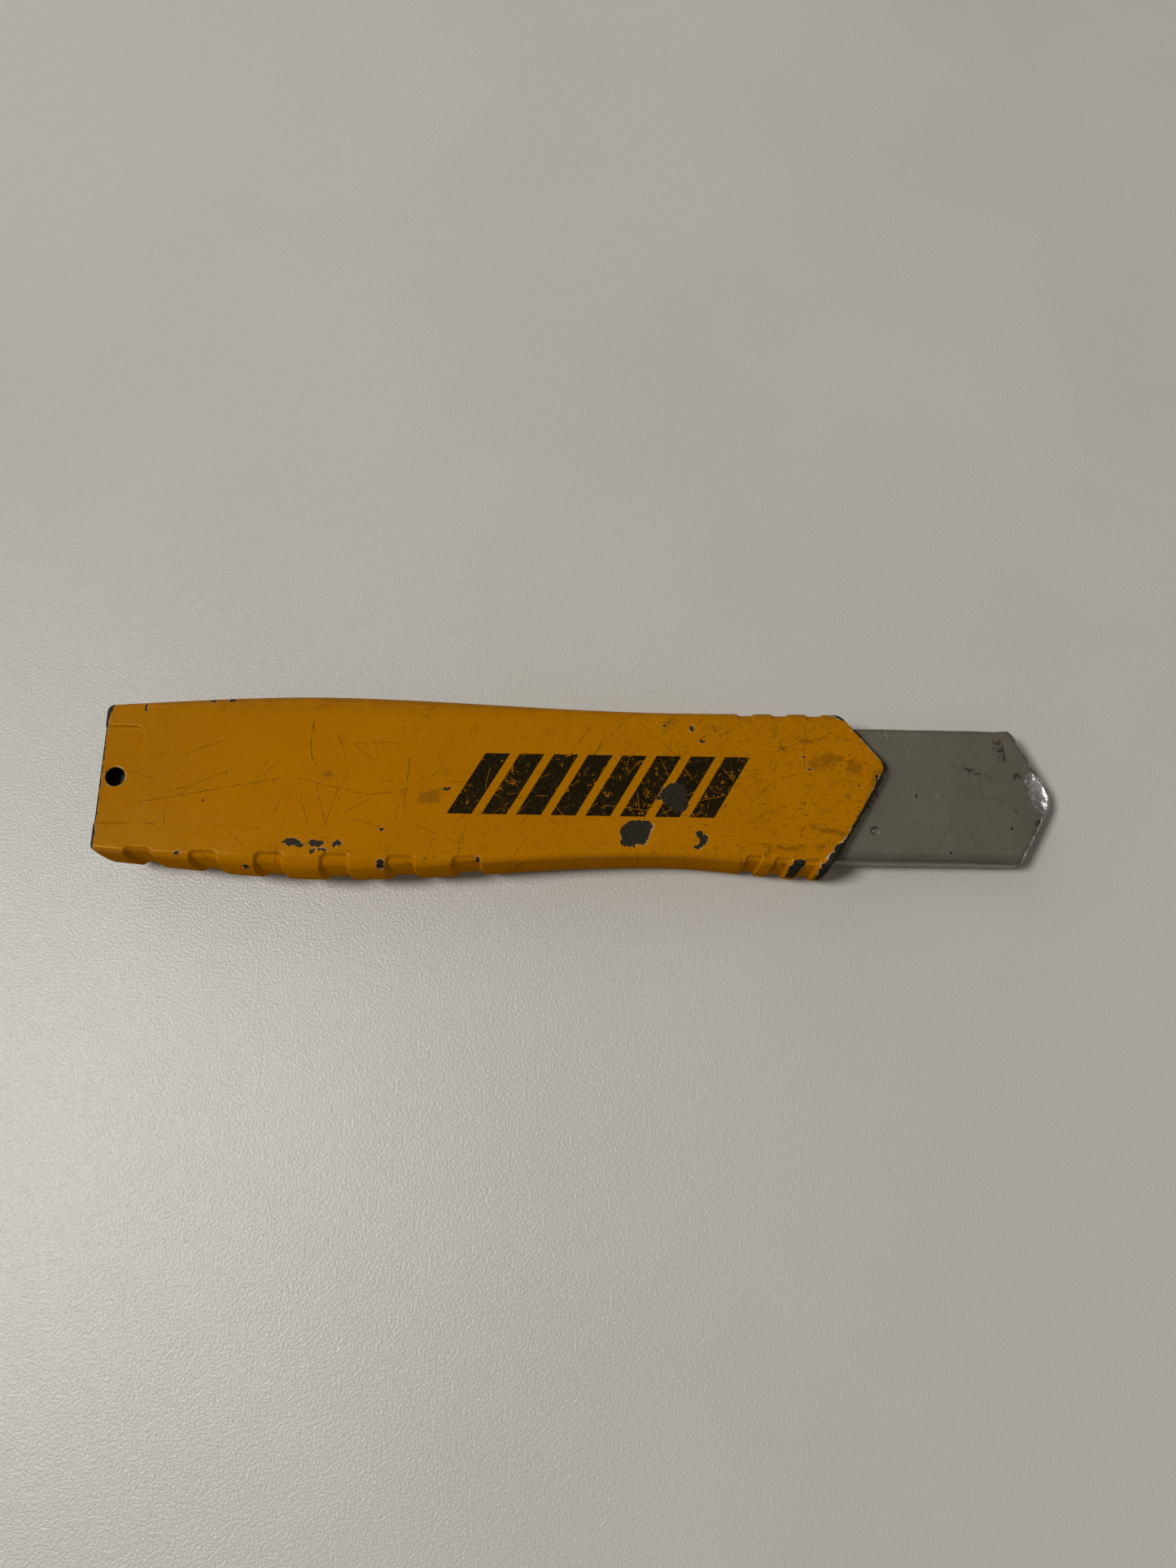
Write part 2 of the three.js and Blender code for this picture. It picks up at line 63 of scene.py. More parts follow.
SPINE_SIDE = ((-14, 11.3), (33, 13.85), (86, 12.0), (108, 12.25))
FINGER_SIDE = ((-14, 10.93), (33, 14.07), (84, 11.15), (109, 12.85))
SPINE_CORNER = ((0, 1.5), (33, 2.3), (86, 1.5), (110, 1.9))
FINGER_CORNER = ((0, 1.05), (33, 2.75), (60, 1.35), (84, 1.1), (109, 1.75))


# ------------------------------------------------------------------ distance fields
def along(stations, x):
    """Smooth interpolation through (x, value) stations, level at each one."""
    out = np.full_like(x, stations[0][1])
    for (x0, v0), (x1, v1) in zip(stations, stations[1:]):
        t = np.clip((x - x0) / (x1 - x0), 0, 1)
        out = np.where(x > x0, v0 + (v1 - v0) * t * t * (3 - 2 * t), out)
    return out


def step(lo, hi, v):
    t = np.clip((v - lo) / (hi - lo), 0, 1)
    return t * t * (3 - 2 * t)


def rmax(a, b, r):
    """Intersection of two fields with the edge between them rounded to radius r."""
    return np.hypot(np.maximum(a + r, 0), np.maximum(b + r, 0)) + np.minimum(np.maximum(a, b), -r)


def rounded_box2(u, v, half_u, half_v, r):
    qu = np.abs(u) - half_u + r
    qv = np.abs(v) - half_v + r
    return np.hypot(np.maximum(qu, 0), np.maximum(qv, 0)) + np.minimum(np.maximum(qu, qv), 0) - r


class Field:
    """A block of space sampled on a regular grid, in millimetres."""

    def __init__(self, lo, hi, h):
        self.lo, self.h = np.array(lo, float), h
        axes = [np.arange(a, b + h, h, dtype=np.float32) for a, b in zip(lo, hi)]
        self.x = axes[0][:, None, None]
        self.y = axes[1][None, :, None]
        self.z = axes[2][None, None, :]

    def sample(self, d, p):
        q = (p - self.lo) / self.h
        top = np.array(d.shape) - 2
        i = np.clip(np.floor(q).astype(int), 0, top)
        f = np.clip(q - i, 0, 1)
        out = 0
        for dx in (0, 1):
            for dy in (0, 1):
                for dz in (0, 1):
                    w = (
                        (f[:, 0] if dx else 1 - f[:, 0])
                        * (f[:, 1] if dy else 1 - f[:, 1])
                        * (f[:, 2] if dz else 1 - f[:, 2])
                    )
                    out = out + w * d[i[:, 0] + dx, i[:, 1] + dy, i[:, 2] + dz]
        return out

    def mesh(self, name, d):
        """The zero surface of field d as a smooth-shaded mesh object in metres."""
        d = np.ascontiguousarray(np.clip(d, -4 * self.h, 4 * self.h), dtype=np.float32)
        grid = openvdb.FloatGrid(background=4 * self.h)
        grid.copyFromArray(d)
        points, tris, quads = grid.convertToPolygons(isovalue=0.0, adaptivity=0.0)
        points = np.array(points, float) * self.h + self.lo
        faces = [np.array(f) for f in (quads, tris) if len(f)]
        data = bpy.data.meshes.new(name)
        data.vertices.add(len(points))
        data.vertices.foreach_set("co", (points * MM).astype(np.float32).ravel())
        loops = np.concatenate([f.ravel() for f in faces])
        sizes = np.concatenate([np.full(len(f), f.shape[1]) for f in faces])
        starts = np.concatenate([[0], np.cumsum(sizes)[:-1]])
        data.loops.add(len(loops))
        data.loops.foreach_set("vertex_index", loops.astype(np.int32))
        data.polygons.add(len(sizes))
        data.polygons.foreach_set("loop_start", starts.astype(np.int32))
        data.update(calc_edges=True)
        data.validate()
        data.shade_smooth()
        e = self.h * 0.5
        normals = np.stack(
            [self.sample(d, points + v) - self.sample(d, points - v) for v in np.eye(3) * e], 1
        )
        normals /= np.maximum(np.linalg.norm(normals, axis=1, keepdims=True), 1e-9)
        data.normals_split_custom_set_from_vertices(normals.astype(np.float32))
        piece = bpy.data.objects.new(name, data)
        bpy.context.scene.collection.objects.link(piece)
        return piece


# ------------------------------------------------------------------ casting
CASTING_GRID = 0.16
CASTING_BLOCK = ((-0.8, -15.0, -5.7), (118.6, 14.8, 5.7))
PANEL = dict(length=6.0, low=-7.2, high=7.8, depth=0.36, corner=1.3, band=0.5, far=20.0)
HOLE = (2.35, 0.0, 1.4)
WALL_DRAFT = 0.45  # the share of each corner's width that the bulge of the side wall takes up
NOSE_ROUND = 1.5
NOSE_EDGE_ROUND = 0.35
BUTT_ROUND = (2.4, 1.8)  # spine side, finger side
CHANNEL = dict(half_width=10.6, half_height=2.1)
SLOT = dict(end=111.0, length=200.0, half_width=5.0, corner=4.5)
NOTCH_REACH = 10.0
FINGER_NOTCHES = dict(first=7.15, pitch=9.66, count=6, width=4.0, depth=0.6, lean=82)
FINGER_NOTCHES.update(side=-1, corner=0.8, band=0.6, lap=0.1)
GUARD_NOTCHES = dict(first=97.8, pitch=4.19, count=3, width=2.1, depth=0.6, lean=66)
GUARD_NOTCHES.update(side=-1, corner=0.4, band=0.5, lap=0.1)
THUMB_NOTCHES = dict(first=96.7, pitch=5.2, count=3, width=2.3, depth=0.3, lean=90)
THUMB_NOTCHES.update(side=1, corner=0.5, band=0.5, lap=0.0)


def casting_skin(y, z, width, corner):
    """The rounded outer section, with side walls that bulge slightly at mid height."""
    draft = WALL_DRAFT * corner
    edge = corner - draft
    draft = draft * (1 - (z / BODY_HALF) ** 2)
    qy = np.abs(y) - (width - corner) - draft
    qz = np.abs(z) - (BODY_HALF - edge)
    return np.hypot(np.maximum(qy, 0), np.maximum(qz, 0)) + np.minimum(np.maximum(qy, qz), 0) - edge


def notch_depth(n, x, y, width, corner):
    """How far one row of notches sinks the skin."""
    out = n["side"] * y - (width - corner) + n["lap"]
    mask = np.zeros(out.shape, np.float32)
    lean = math.tan(math.radians(n["lean"]))
    for i in range(n["count"]):
        u = x - (n["first"] + i * n["pitch"]) + out / lean
        s = rounded_box2(u, out - NOTCH_REACH, n["width"] / 2, NOTCH_REACH, n["corner"])
        mask = np.maximum(mask, step(n["band"] / 2, -n["band"] / 2, s))
    return n["depth"] * mask * (n["side"] * y > 0)


def panel_depth(x, y):
    """How far the panel at the butt lies below the flat back."""
    mid = (PANEL["low"] + PANEL["high"]) / 2
    half = (PANEL["high"] - PANEL["low"]) / 2
    far = PANEL["far"]
    s = rounded_box2(x - PANEL["length"] + far, y - mid, far, half, PANEL["corner"])
    return PANEL["depth"] * step(PANEL["band"] / 2, -PANEL["band"] / 2, s)


def cut_nose(d, x, y):
    dx, dy = x - NOSE_TIP[0], y - NOSE_TIP[1]
    low = dx * math.sin(NOSE_LOW_ANGLE) - dy * math.cos(NOSE_LOW_ANGLE)
    high = dx * math.sin(NOSE_HIGH_ANGLE) + dy * math.cos(NOSE_HIGH_ANGLE)
    return rmax(d, rmax(low, high, NOSE_ROUND), NOSE_EDGE_ROUND)


def cut_openings(d, x, y, z):
    """The channel for the sleeve, the slider's slot, the small hole and the two pin holes."""
    channel = np.maximum(np.abs(y) - CHANNEL["half_width"], np.abs(z) - CHANNEL["half_height"])
    d = rmax(d, -channel, 0.15)
    half = SLOT["length"] / 2
    slot = rounded_box2(x - SLOT["end"] + half, y, half, SLOT["half_width"], SLOT["corner"])
    d = rmax(d, -np.maximum(slot, z), 0.3)
    hole = np.maximum(np.hypot(x - HOLE[0], y - HOLE[1]) - HOLE[2], -z)
    d = rmax(d, -hole, 0.22)
    for side in (-1, 1):
        d = rmax(d, -pin_hole(x, y, z, side), 0.1)
    return d


def pin_hole(x, y, z, side):
    across = np.hypot(x - SLEEVE_PINS["x"], y - side * SLEEVE_PINS["y"])
    return np.maximum(across - SLEEVE_PINS["radius"], z)


def make_casting():
    f = Field(*CASTING_BLOCK, CASTING_GRID)
    x, y, z = f.x, f.y, f.z
    width = np.where(y > 0, along(SPINE_SIDE, x), along(FINGER_SIDE, x))
    corner = np.where(y > 0, along(SPINE_CORNER, x), along(FINGER_CORNER, x))
    d = casting_skin(y, z, width, corner)
    for notches in (FINGER_NOTCHES, GUARD_NOTCHES, THUMB_NOTCHES):
        d = d + notch_depth(notches, x, y, width, corner)
    d = np.maximum(d, z - (BODY_HALF - panel_depth(x, y)))
    d = cut_nose(d, x, y)
    butt = rmax(np.abs(y) - width - 0.5, -x, np.where(y > 0, *BUTT_ROUND))
    d = rmax(d, butt, 0.4)
    return f.mesh("casting", cut_openings(d, x, y, z))


# ------------------------------------------------------------------ sleeve
SLEEVE_GRID = 0.15
SLEEVE_BLOCK = ((12.3, -11.2, -2.6), (144.4, 11.2, 2.6))
SLEEVE_TIP_ROUND = 2.0
SLEEVE_NOSE_DROP = 1.5
ROLLED_RIM = 0.22
CRUSH = dict(x=141.5, y=0.8, turn=22, length=1.7, width=3.7, depth=0.5, lumps=0.12)
KNOCK = dict(x=116.15, y=-5.7, radius=0.52, depth=0.12)
LIP_HALF_GAP = 4.5
RACK = dict(first=32.0, pitch=5.5, count=13, half=1.2, reach=6.3)


def crushed_tip(x, y, nose):
    """Depth of the dish and the lumps where the sleeve's tip has been crushed."""
    turn = math.radians(CRUSH["turn"])
    dx, dy = x - CRUSH["x"], y - CRUSH["y"]
    u = dx * math.cos(turn) + dy * math.sin(turn)
    v = dy * math.cos(turn) - dx * math.sin(turn)
    bowl = np.maximum(0, 1 - (u / CRUSH["length"]) ** 2 - (v / CRUSH["width"]) ** 2)
    lumps = CRUSH["lumps"] * np.sin(2.3 * x + 1.4 * y) * np.sin(1.9 * y - 0.8 * x + 1.0)
    return (CRUSH["depth"] * bowl + lumps * np.minimum(1, 3 * bowl)) * step(-0.15, -0.8, nose)


def knocked_ring(x, y):
    """Depth of the small crescent knocked into the sleeve beside the casting."""
    dx, dy = x - KNOCK["x"], y - KNOCK["y"]
    ring = step(0.22, 0.0, np.abs(np.hypot(dx, dy) - KNOCK["radius"]))
    return KNOCK["depth"] * ring * step(0.7, -0.2, dx * 0.6 + dy * 0.8)


def ripple(x, y):
    """Slight unevenness of the sheet, which fades out inside the casting."""
    long_wave = 0.04 * np.sin(0.21 * x + 0.5) * np.sin(0.33 * y + 0.05 * x + 1.0)
    return (long_wave + 0.022 * np.sin(0.5 * x - 0.43 * y)) * step(116, 122, x)


def cut_rack(d, x, y, z):
    """The gap between the lips, and the square notches along the finger-side lip."""
    d = rmax(d, -np.maximum(np.abs(y) - LIP_HALF_GAP, z), 0.12)
    across = np.maximum(y, -RACK["reach"] - y)
    for i in range(RACK["count"]):
        along_x = np.abs(x - RACK["first"] - RACK["pitch"] * i) - RACK["half"]
        notch = np.maximum(np.maximum(along_x, across), z)
        d = rmax(d, -notch, 0.1)
    return d


def make_sleeve():
    f = Field(*SLEEVE_BLOCK, SLEEVE_GRID)
    x, y, z = f.x, f.y, f.z
    t = np.clip((x - SLOPE_START) / SLOPE_LENGTH, 0, 2) ** 1.25
    dx = x - SLEEVE_TIP_X
    low = dx * math.sin(NOSE_LOW_ANGLE) - y * math.cos(NOSE_LOW_ANGLE)
    high = dx * math.sin(NOSE_LOW_ANGLE) + y * math.cos(NOSE_LOW_ANGLE)
    nose = rmax(low, high, SLEEVE_TIP_ROUND)
    inner_back = SLEEVE_HALF_H - SHEET - 1.05 * t

    rolled = ROLLED_RIM * step(-1.2, 0.1, nose) ** 2
    back = SLEEVE_HALF_H - SLEEVE_NOSE_DROP * t - rolled
    back = back - crushed_tip(x, y, nose) - knocked_ring(x, y) + ripple(x, y)
    back = np.maximum(back, inner_back + 0.16)

    wavy = 0.05 * np.sin(0.45 * x) * step(118, 124, x) * step(140, 132, x)
    outer = rounded_box2(y + 0 * x, z, SLEEVE_HALF_W - np.abs(wavy), SLEEVE_HALF_H, 1.0)
    edge_round = 0.85 * step(127, 133, x) * step(-0.6, -2.5, nose) + 0.03
    outer = rmax(outer, z - back, edge_round)
    bore = np.maximum(np.abs(y) - SLEEVE_HALF_W + SHEET, z - inner_back)
    bore = np.maximum(bore, -(SLEEVE_HALF_H - SHEET) - z)
    d = rmax(outer, -bore, 0.06)
    d = cut_rack(d, x, y, z)
    d = np.maximum(d, SLEEVE_START - x)
    plan = rmax(np.abs(y) - SLEEVE_HALF_W - 0.35, nose, 1.5)
    d = rmax(d, plan, 0.08)
    for side in (-1, 1):
        d = np.maximum(d, -pin_hole(x, y, z, side))
    return f.mesh("sleeve", d)


# ------------------------------------------------------------------ push button
BUTTON_GRID = 0.12
BUTTON = dict(low=-9.4, high=-2.2, shoulder=-6.4, crown=-8.9, seat=-2.92, round=0.45)
RIB = dict(pitch=2.0, depth=0.45)
RIVET_WELL = dict(x=18.7, radius=1.45, floor=-4.0)
STUD = dict(x=27.0, radius=0.9, top=-2.3, foot=-4.0)


def ribs_across(x, x0, t):
    """Height lost between the ribs, which fade out towards the ends of the button."""
    wave = (0.5 + 0.5 * np.cos(2 * math.pi * (x - x0) / RIB["pitch"])) ** 2
    return RIB["depth"] * wave * step(0.1, 0.25, t) * step(0.9, 0.75, t)


def make_button():
    lo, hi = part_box("thumb_button")
    x0, x1, half = lo.x / MM, hi.x / MM, hi.y / MM
    block = (x0 - 0.5, -half - 0.5, BUTTON["low"]), (x1 + 0.5, half + 0.5, BUTTON["high"])
    f = Field(*block, BUTTON_GRID)
    x, y, z = f.x, f.y, f.z
    t = (x - x0) / (x1 - x0)
    arch = BUTTON["shoulder"] + (BUTTON["crown"] - BUTTON["shoulder"]) * 4 * t * (1 - t)
    d = rmax(np.abs(x - (x0 + x1) / 2) - (x1 - x0) / 2, np.abs(y) - half, 0.5)
    d = rmax(d, (arch + ribs_across(x, x0, t) - z) * 0.9, BUTTON["round"])
    d = np.maximum(d, z - BUTTON["seat"])
    well = np.hypot(x - RIVET_WELL["x"], y) - RIVET_WELL["radius"]
    d = np.maximum(d, -np.maximum(well, RIVET_WELL["floor"] - z))
    stud = np.maximum(np.hypot(x - STUD["x"], y) - STUD["radius"], z - STUD["top"])
    stud = np.maximum(stud, STUD["foot"] - z)
    return f.mesh("button", np.minimum(d, stud))


# ------------------------------------------------------------------ material building
def srgb(r, g, b):
    def lin(c):
        c /= 255
        return c / 12.92 if c <= 0.04045 else ((c + 0.055) / 1.055) ** 2.4
    return (lin(r), lin(g), lin(b), 1.0)


class Tree:
    """Shorthand for building one material's nodes; every call returns an output socket."""

    def __init__(self, name):
        self.material = bpy.data.materials.new(name)
        self.material.use_nodes = True
        self.nodes = self.material.node_tree.nodes
        self.links = self.material.node_tree.links
        self.shader = self.nodes["Principled BSDF"]
        coords = self.nodes.new("ShaderNodeTexCoord")
        self.p = self.vector("MULTIPLY", coords.outputs["Object"], (1 / MM,) * 3)
        self.plain = self.p
        self.frames = {}
        self.x = self.vector("DOT_PRODUCT", self.p, (1, 0, 0), 1)
        self.y = self.vector("DOT_PRODUCT", self.p, (0, 1, 0), 1)
        self.z = self.vector("DOT_PRODUCT", self.p, (0, 0, 1), 1)

    def put(self, socket, value):
        if isinstance(value, bpy.types.NodeSocket):
            self.links.new(value, socket)
        elif value is not None:
            socket.default_value = value

    def calc(self, op, a, b=None, c=None, clamp=False):
        n = self.nodes.new("ShaderNodeMath")
        n.operation, n.use_clamp = op, clamp
        for s, v in zip(n.inputs, (a, b, c)):
            self.put(s, v)
        return n.outputs[0]

    def times(self, a, b):
        return self.calc("MULTIPLY", a, b)

    def vector(self, op, a, b=None, out=0, c=None, scale=None):
        n = self.nodes.new("ShaderNodeVectorMath")
        n.operation = op
        self.put(n.inputs[0], a)
        self.put(n.inputs[1], b)
        self.put(n.inputs[2], c)
        self.put(n.inputs[3], scale)
        return n.outputs[out]

    def warped(self, offset):
        """Moves the position that blobs and lines are measured from by a vector."""
        self.p = self.vector("ADD", self.plain, offset)
        self.frames = {}

    def unwarped(self):
        self.p = self.plain
        self.frames = {}

    def frame(self, angle):
        """The position vector turned about Z, made once for each angle and flattened to the XY plane."""
        if angle not in self.frames:
            c, s = math.cos(math.radians(angle)), math.sin(math.radians(angle))
            n = self.nodes.new("ShaderNodeCombineXYZ")
            self.put(n.inputs[0], self.vector("DOT_PRODUCT", self.p, (c, s, 0), 1))
            self.put(n.inputs[1], self.vector("DOT_PRODUCT", self.p, (-s, c, 0), 1))
            self.frames[angle] = n.outputs[0]
        return self.frames[angle]

    def noise(self, scale, detail=2.0, rough=0.5, vector=None, color=False):
        n = self.nodes.new("ShaderNodeTexNoise")
        self.put(n.inputs["Vector"], vector or self.p)
        n.inputs["Scale"].default_value = scale
        n.inputs["Detail"].default_value = detail
        n.inputs["Roughness"].default_value = rough
        return n.outputs["Color" if color else "Fac"]

    def ramp(self, value, lo, hi, to_lo=0.0, to_hi=1.0):
        n = self.nodes.new("ShaderNodeMapRange")
        n.interpolation_type = "SMOOTHSTEP"
        for s, v in zip(n.inputs, (value, lo, hi, to_lo, to_hi)):
            self.put(s, v)
        return n.outputs[0]

    def mix(self, factor, a, b):
        n = self.nodes.new("ShaderNodeMix")
        n.data_type = "RGBA"
        self.put(n.inputs[0], factor)
        sockets = [s for s in n.inputs if s.type == "RGBA"]
        self.put(sockets[0], a)
        self.put(sockets[1], b)
        return [s for s in n.outputs if s.type == "RGBA"][0]

    def mixf(self, factor, a, b):
        n = self.nodes.new("ShaderNodeMix")
        n.data_type = "FLOAT"
        self.put(n.inputs[0], factor)
        self.put(n.inputs[2], a)
        self.put(n.inputs[3], b)
        return n.outputs[0]

    def least(self, values):
        """Smallest of the values; a generator is used one value at a time, which keeps the shader small."""
        values = iter(values)
        out = next(values)
        for v in values:
            out = self.calc("MINIMUM", out, v)
        return out

    def most(self, values):
        out = values[0]
        for v in values[1:]:
            out = self.calc("MAXIMUM", out, v)
        return out

    def blob(self, x, y, rx, ry, angle=0):
        """Signed distance, roughly in millimetres, to an ellipse seen from above."""
        c, s = math.cos(math.radians(angle)), math.sin(math.radians(angle))
        u, v = x * c + y * s, y * c - x * s
        local = self.vector("MULTIPLY_ADD", self.frame(angle), (1 / rx, 1 / ry, 0), c=(-u / rx, -v / ry, 0))
        size = math.sqrt(rx * ry)
        return self.calc("MULTIPLY_ADD", self.vector("LENGTH", local, out=1), size, -size)

    def line(self, x0, y0, x1, y1, extra=0.0):
        """Distance in millimetres to a straight line between two points seen from above."""
        dx, dy = x1 - x0, y1 - y0
        square = dx * dx + dy * dy
        flat = self.frame(0)
        t = self.vector("DOT_PRODUCT", flat, (dx / square, dy / square, 0), 1)
        t = self.calc("ADD", t, -(x0 * dx + y0 * dy) / square, clamp=True)
        foot = self.vector("SCALE", (dx, dy, 0), scale=t)
        away = self.vector("SUBTRACT", flat, foot)
        distance = self.vector("DISTANCE", away, (x0, y0, 0), 1)
        return self.calc("ADD", distance, extra) if extra else distance

    def hairs(self, cell, length, width, seed, spread=3.14, lean=0.0, keep=1.0):
        """Scattered fine scratches, one at most in each cell, 1 on a scratch and 0 off it."""
        v = self.nodes.new("ShaderNodeTexVoronoi")
        v.voronoi_dimensions = "2D"
        shifted = self.vector("ADD", self.frame(0), (seed * 17.3, seed * 9.1, 0))
        self.put(v.inputs["Vector"], shifted)
        v.inputs["Scale"].default_value = 1 / cell
        local = self.vector("SUBTRACT", shifted, v.outputs["Position"])
        pick = self.nodes.new("ShaderNodeSeparateColor")
        self.links.new(v.outputs["Color"], pick.inputs[0])
        angle = self.calc("MULTIPLY_ADD", pick.outputs[0], spread, lean - spread / 2)
        direction = self.nodes.new("ShaderNodeCombineXYZ")
        self.put(direction.inputs[0], self.calc("COSINE", angle))
        self.put(direction.inputs[1], self.calc("SINE", angle))
        end = self.vector("DOT_PRODUCT", local, direction.outputs[0], 1)
        cross = self.vector("CROSS_PRODUCT", local, direction.outputs[0])
        across = self.vector("DOT_PRODUCT", cross, (0, 0, 1), 1)
        bow = self.calc("MULTIPLY", self.calc("MULTIPLY", end, end), 0.02)
        across = self.calc("ABSOLUTE", self.calc("SUBTRACT", across, bow))
        reach = self.calc("MULTIPLY_ADD", pick.outputs[1], length * 0.5, length * 0.08)
        thin = self.ramp(across, width, width * 0.3)
        short = self.ramp(self.calc("SUBTRACT", self.calc("ABSOLUTE", end), reach), 0.3, -0.3)
        chosen = self.calc("LESS_THAN", pick.outputs[2], keep)
        return self.calc("MULTIPLY", self.calc("MULTIPLY", thin, short), chosen)

    def bump(self, height, distance):
        n = self.nodes.new("ShaderNodeBump")
        n.inputs["Strength"].default_value = 1.0
        n.inputs["Distance"].default_value = distance * MM
        self.put(n.inputs["Height"], height)
        return n.outputs[0]

    def finish(self, color, rough, metal=0.0, normal=None, specular=None, tint=None):
        s = self.shader.inputs
        self.put(s["Base Color"], color)
        self.put(s["Roughness"], rough)
        self.put(s["Metallic"], metal)
        self.put(s["Normal"], normal)
        self.put(s["Specular IOR Level"], specular)
        self.put(s["Specular Tint"], tint)
        return self.material


# ------------------------------------------------------------------ worn paint
# Bare spots where the paint is knocked off the casting: x, y, half length, half height, turn in degrees.
CHIPS = (
    (80.1, -7.4, 2.2, 1.9, 10), (81.3, -6.3, 1.4, 0.8, 0), (79.2, -8.4, 1.2, 0.9, 30),
    (85.8, -1.3, 1.9, 1.6, 20), (86.6, -2.9, 1.5, 1.1, 0), (84.3, -1.6, 1.2, 0.6, 30),
    (89.6, -7.6, 0.45, 0.8, 20), (90.1, -8.3, 0.5, 0.8, -25), (89.5, -9.2, 0.6, 0.35, 20),
    (29.4, -9.6, 1.0, 0.5, 0), (30.6, -9.8, 0.9, 0.45, -20), (28.7, -9.4, 0.6, 0.25, 20),
    (33.2, -9.7, 1.1, 0.45, 0), (36.3, -9.7, 0.6, 0.28, 15), (34.2, -10.6, 0.6, 0.25, -15),
    (32.8, -11.0, 0.5, 0.25, 40), (42.8, -7.5, 0.35, 0.22, 30), (12.9, -11.6, 0.2, 0.35, -15),
    (22.9, -13.3, 0.45, 0.5, 0), (42.8, -12.6, 0.45, 0.55, 0),
    (15.9, 12.3, 0.35, 0.3, 0), (18.8, 12.3, 0.4, 0.25, 20), (5.9, 10.8, 0.2, 0.6, 0),
    (88.5, 8.9, 0.25, 0.5, -20), (90.1, 7.0, 0.35, 0.2, 15), (84.4, 9.3, 0.2, 0.3, 0),
    (52.0, -1.1, 0.5, 0.22, 20), (57.0, -11.6, 0.3, 0.45, 25),
    (84.1, 11.8, 0.9, 0.25, 5), (88.0, 11.6, 0.5, 0.2, 0),
    (84.8, -11.9, 2.2, 0.4, 0), (87.0, -12.1, 1.2, 0.3, 0), (74.5, -11.5, 0.9, 0.2, 0),
    (66.1, -12.3, 0.5, 0.2, 0),
    (111.1, 11.2, 1.0, 0.45, -42), (110.2, 11.7, 0.7, 0.35, -10),
    (110.3, -9.4, 1.2, 0.8, 60), (109.2, -11.3, 1.6, 1.1, 60), (108.0, -12.5, 1.2, 0.8, 60),
    (103.6, -12.1, 1.2, 0.75, 60), (103.1, -13.2, 0.7, 0.5, 60), (104.4, -11.4, 0.8, 0.5, 20),
    (105.1, 4.7, 0.25, 0.2, 0), (106.1, 2.9, 0.3, 0.18, 0), (116.1, 1.6, 0.2, 0.5, -20),
)
# Fine marks drawn where the handle shows them: x0, y0, x1, y1, strength.
MARKS = (
    (31.6, 9.7, 31.3, 6.0, 0.8), (31.3, 6.0, 31.6, 3.5, 0.7), (31.6, 3.5, 32.4, 2.0, 0.6),
    (32.5, -0.5, 34.5, -7.1, 0.5), (46.3, 3.5, 45.9, -3.2, 0.9), (6.5, -4.0, 17.5, -1.8, 0.6),
    (17.5, -1.8, 27.4, 0.1, 0.6), (10.5, -2.4, 13.8, -1.3, 0.6), (26.7, -5.0, 27.4, -3.4, 1.0),
    (18.8, -0.1, 19.1, 0.7, 0.8), (37.1, 6.2, 40.4, 3.4, 0.5), (29.9, 0.1, 40.5, -2.3, 0.5),
    (40.5, -2.3, 45.5, -1.5, 0.5), (37.1, -5.0, 41.0, -2.7, 0.4), (8.0, -7.1, 9.2, -7.3, 0.7),
    (79.1, 10.7, 73.5, 4.2, 0.6), (54.5, -7.0, 54.2, -11.0, 0.6), (54.9, -7.0, 54.8, -9.4, 0.6),
    (47.2, -6.5, 54.2, -9.4, 0.4), (89.5, 7.2, 92.2, 8.6, 0.7), (81.6, 7.5, 80.7, 8.6, 0.6),
    (85.6, 7.8, 86.1, 6.7, 0.6), (57.6, -6.1, 59.6, -4.4, 0.4), (98.0, -8.6, 105.0, -9.6, 0.7),
)
SMUDGES = (
    (33.9, 0.9, 0.9, 0.5), (49.8, -2.4, 2.2, 1.0, 20), (115.9, 1.6, 0.7, 2.6, -30),
    (103.0, -9.2, 3.4, 0.35), (108.6, 4.2, 2.4, 1.2, 20), (112.6, 3.2, 1.4, 1.1, 0),
    (108.5, -6.6, 2.6, 0.5, -12), (105.6, 7.2, 1.2, 0.5, 0),
)
DECAL = dict(x0=54.3, x1=95.3, y0=-4.9, y1=4.5, pitch=5.125, bar=3.7)


def nose_distance(t):
    """How far a point stands outside the casting's two nose edges, in the plan."""
    low = t.vector("DOT_PRODUCT", t.p, (math.sin(NOSE_LOW_ANGLE), -math.cos(NOSE_LOW_ANGLE), 0), 1)
    high = t.vector("DOT_PRODUCT", t.p, (math.sin(NOSE_HIGH_ANGLE), math.cos(NOSE_HIGH_ANGLE), 0), 1)
    low_start = NOSE_TIP[0] * math.sin(NOSE_LOW_ANGLE) - NOSE_TIP[1] * math.cos(NOSE_LOW_ANGLE)
    high_start = NOSE_TIP[0] * math.sin(NOSE_HIGH_ANGLE) + NOSE_TIP[1] * math.cos(NOSE_HIGH_ANGLE)
    low = t.calc("SUBTRACT", low, low_start)
    high = t.calc("SUBTRACT", high, high_start)
    return t.calc("SMOOTH_MAX", low, high, 1.6)


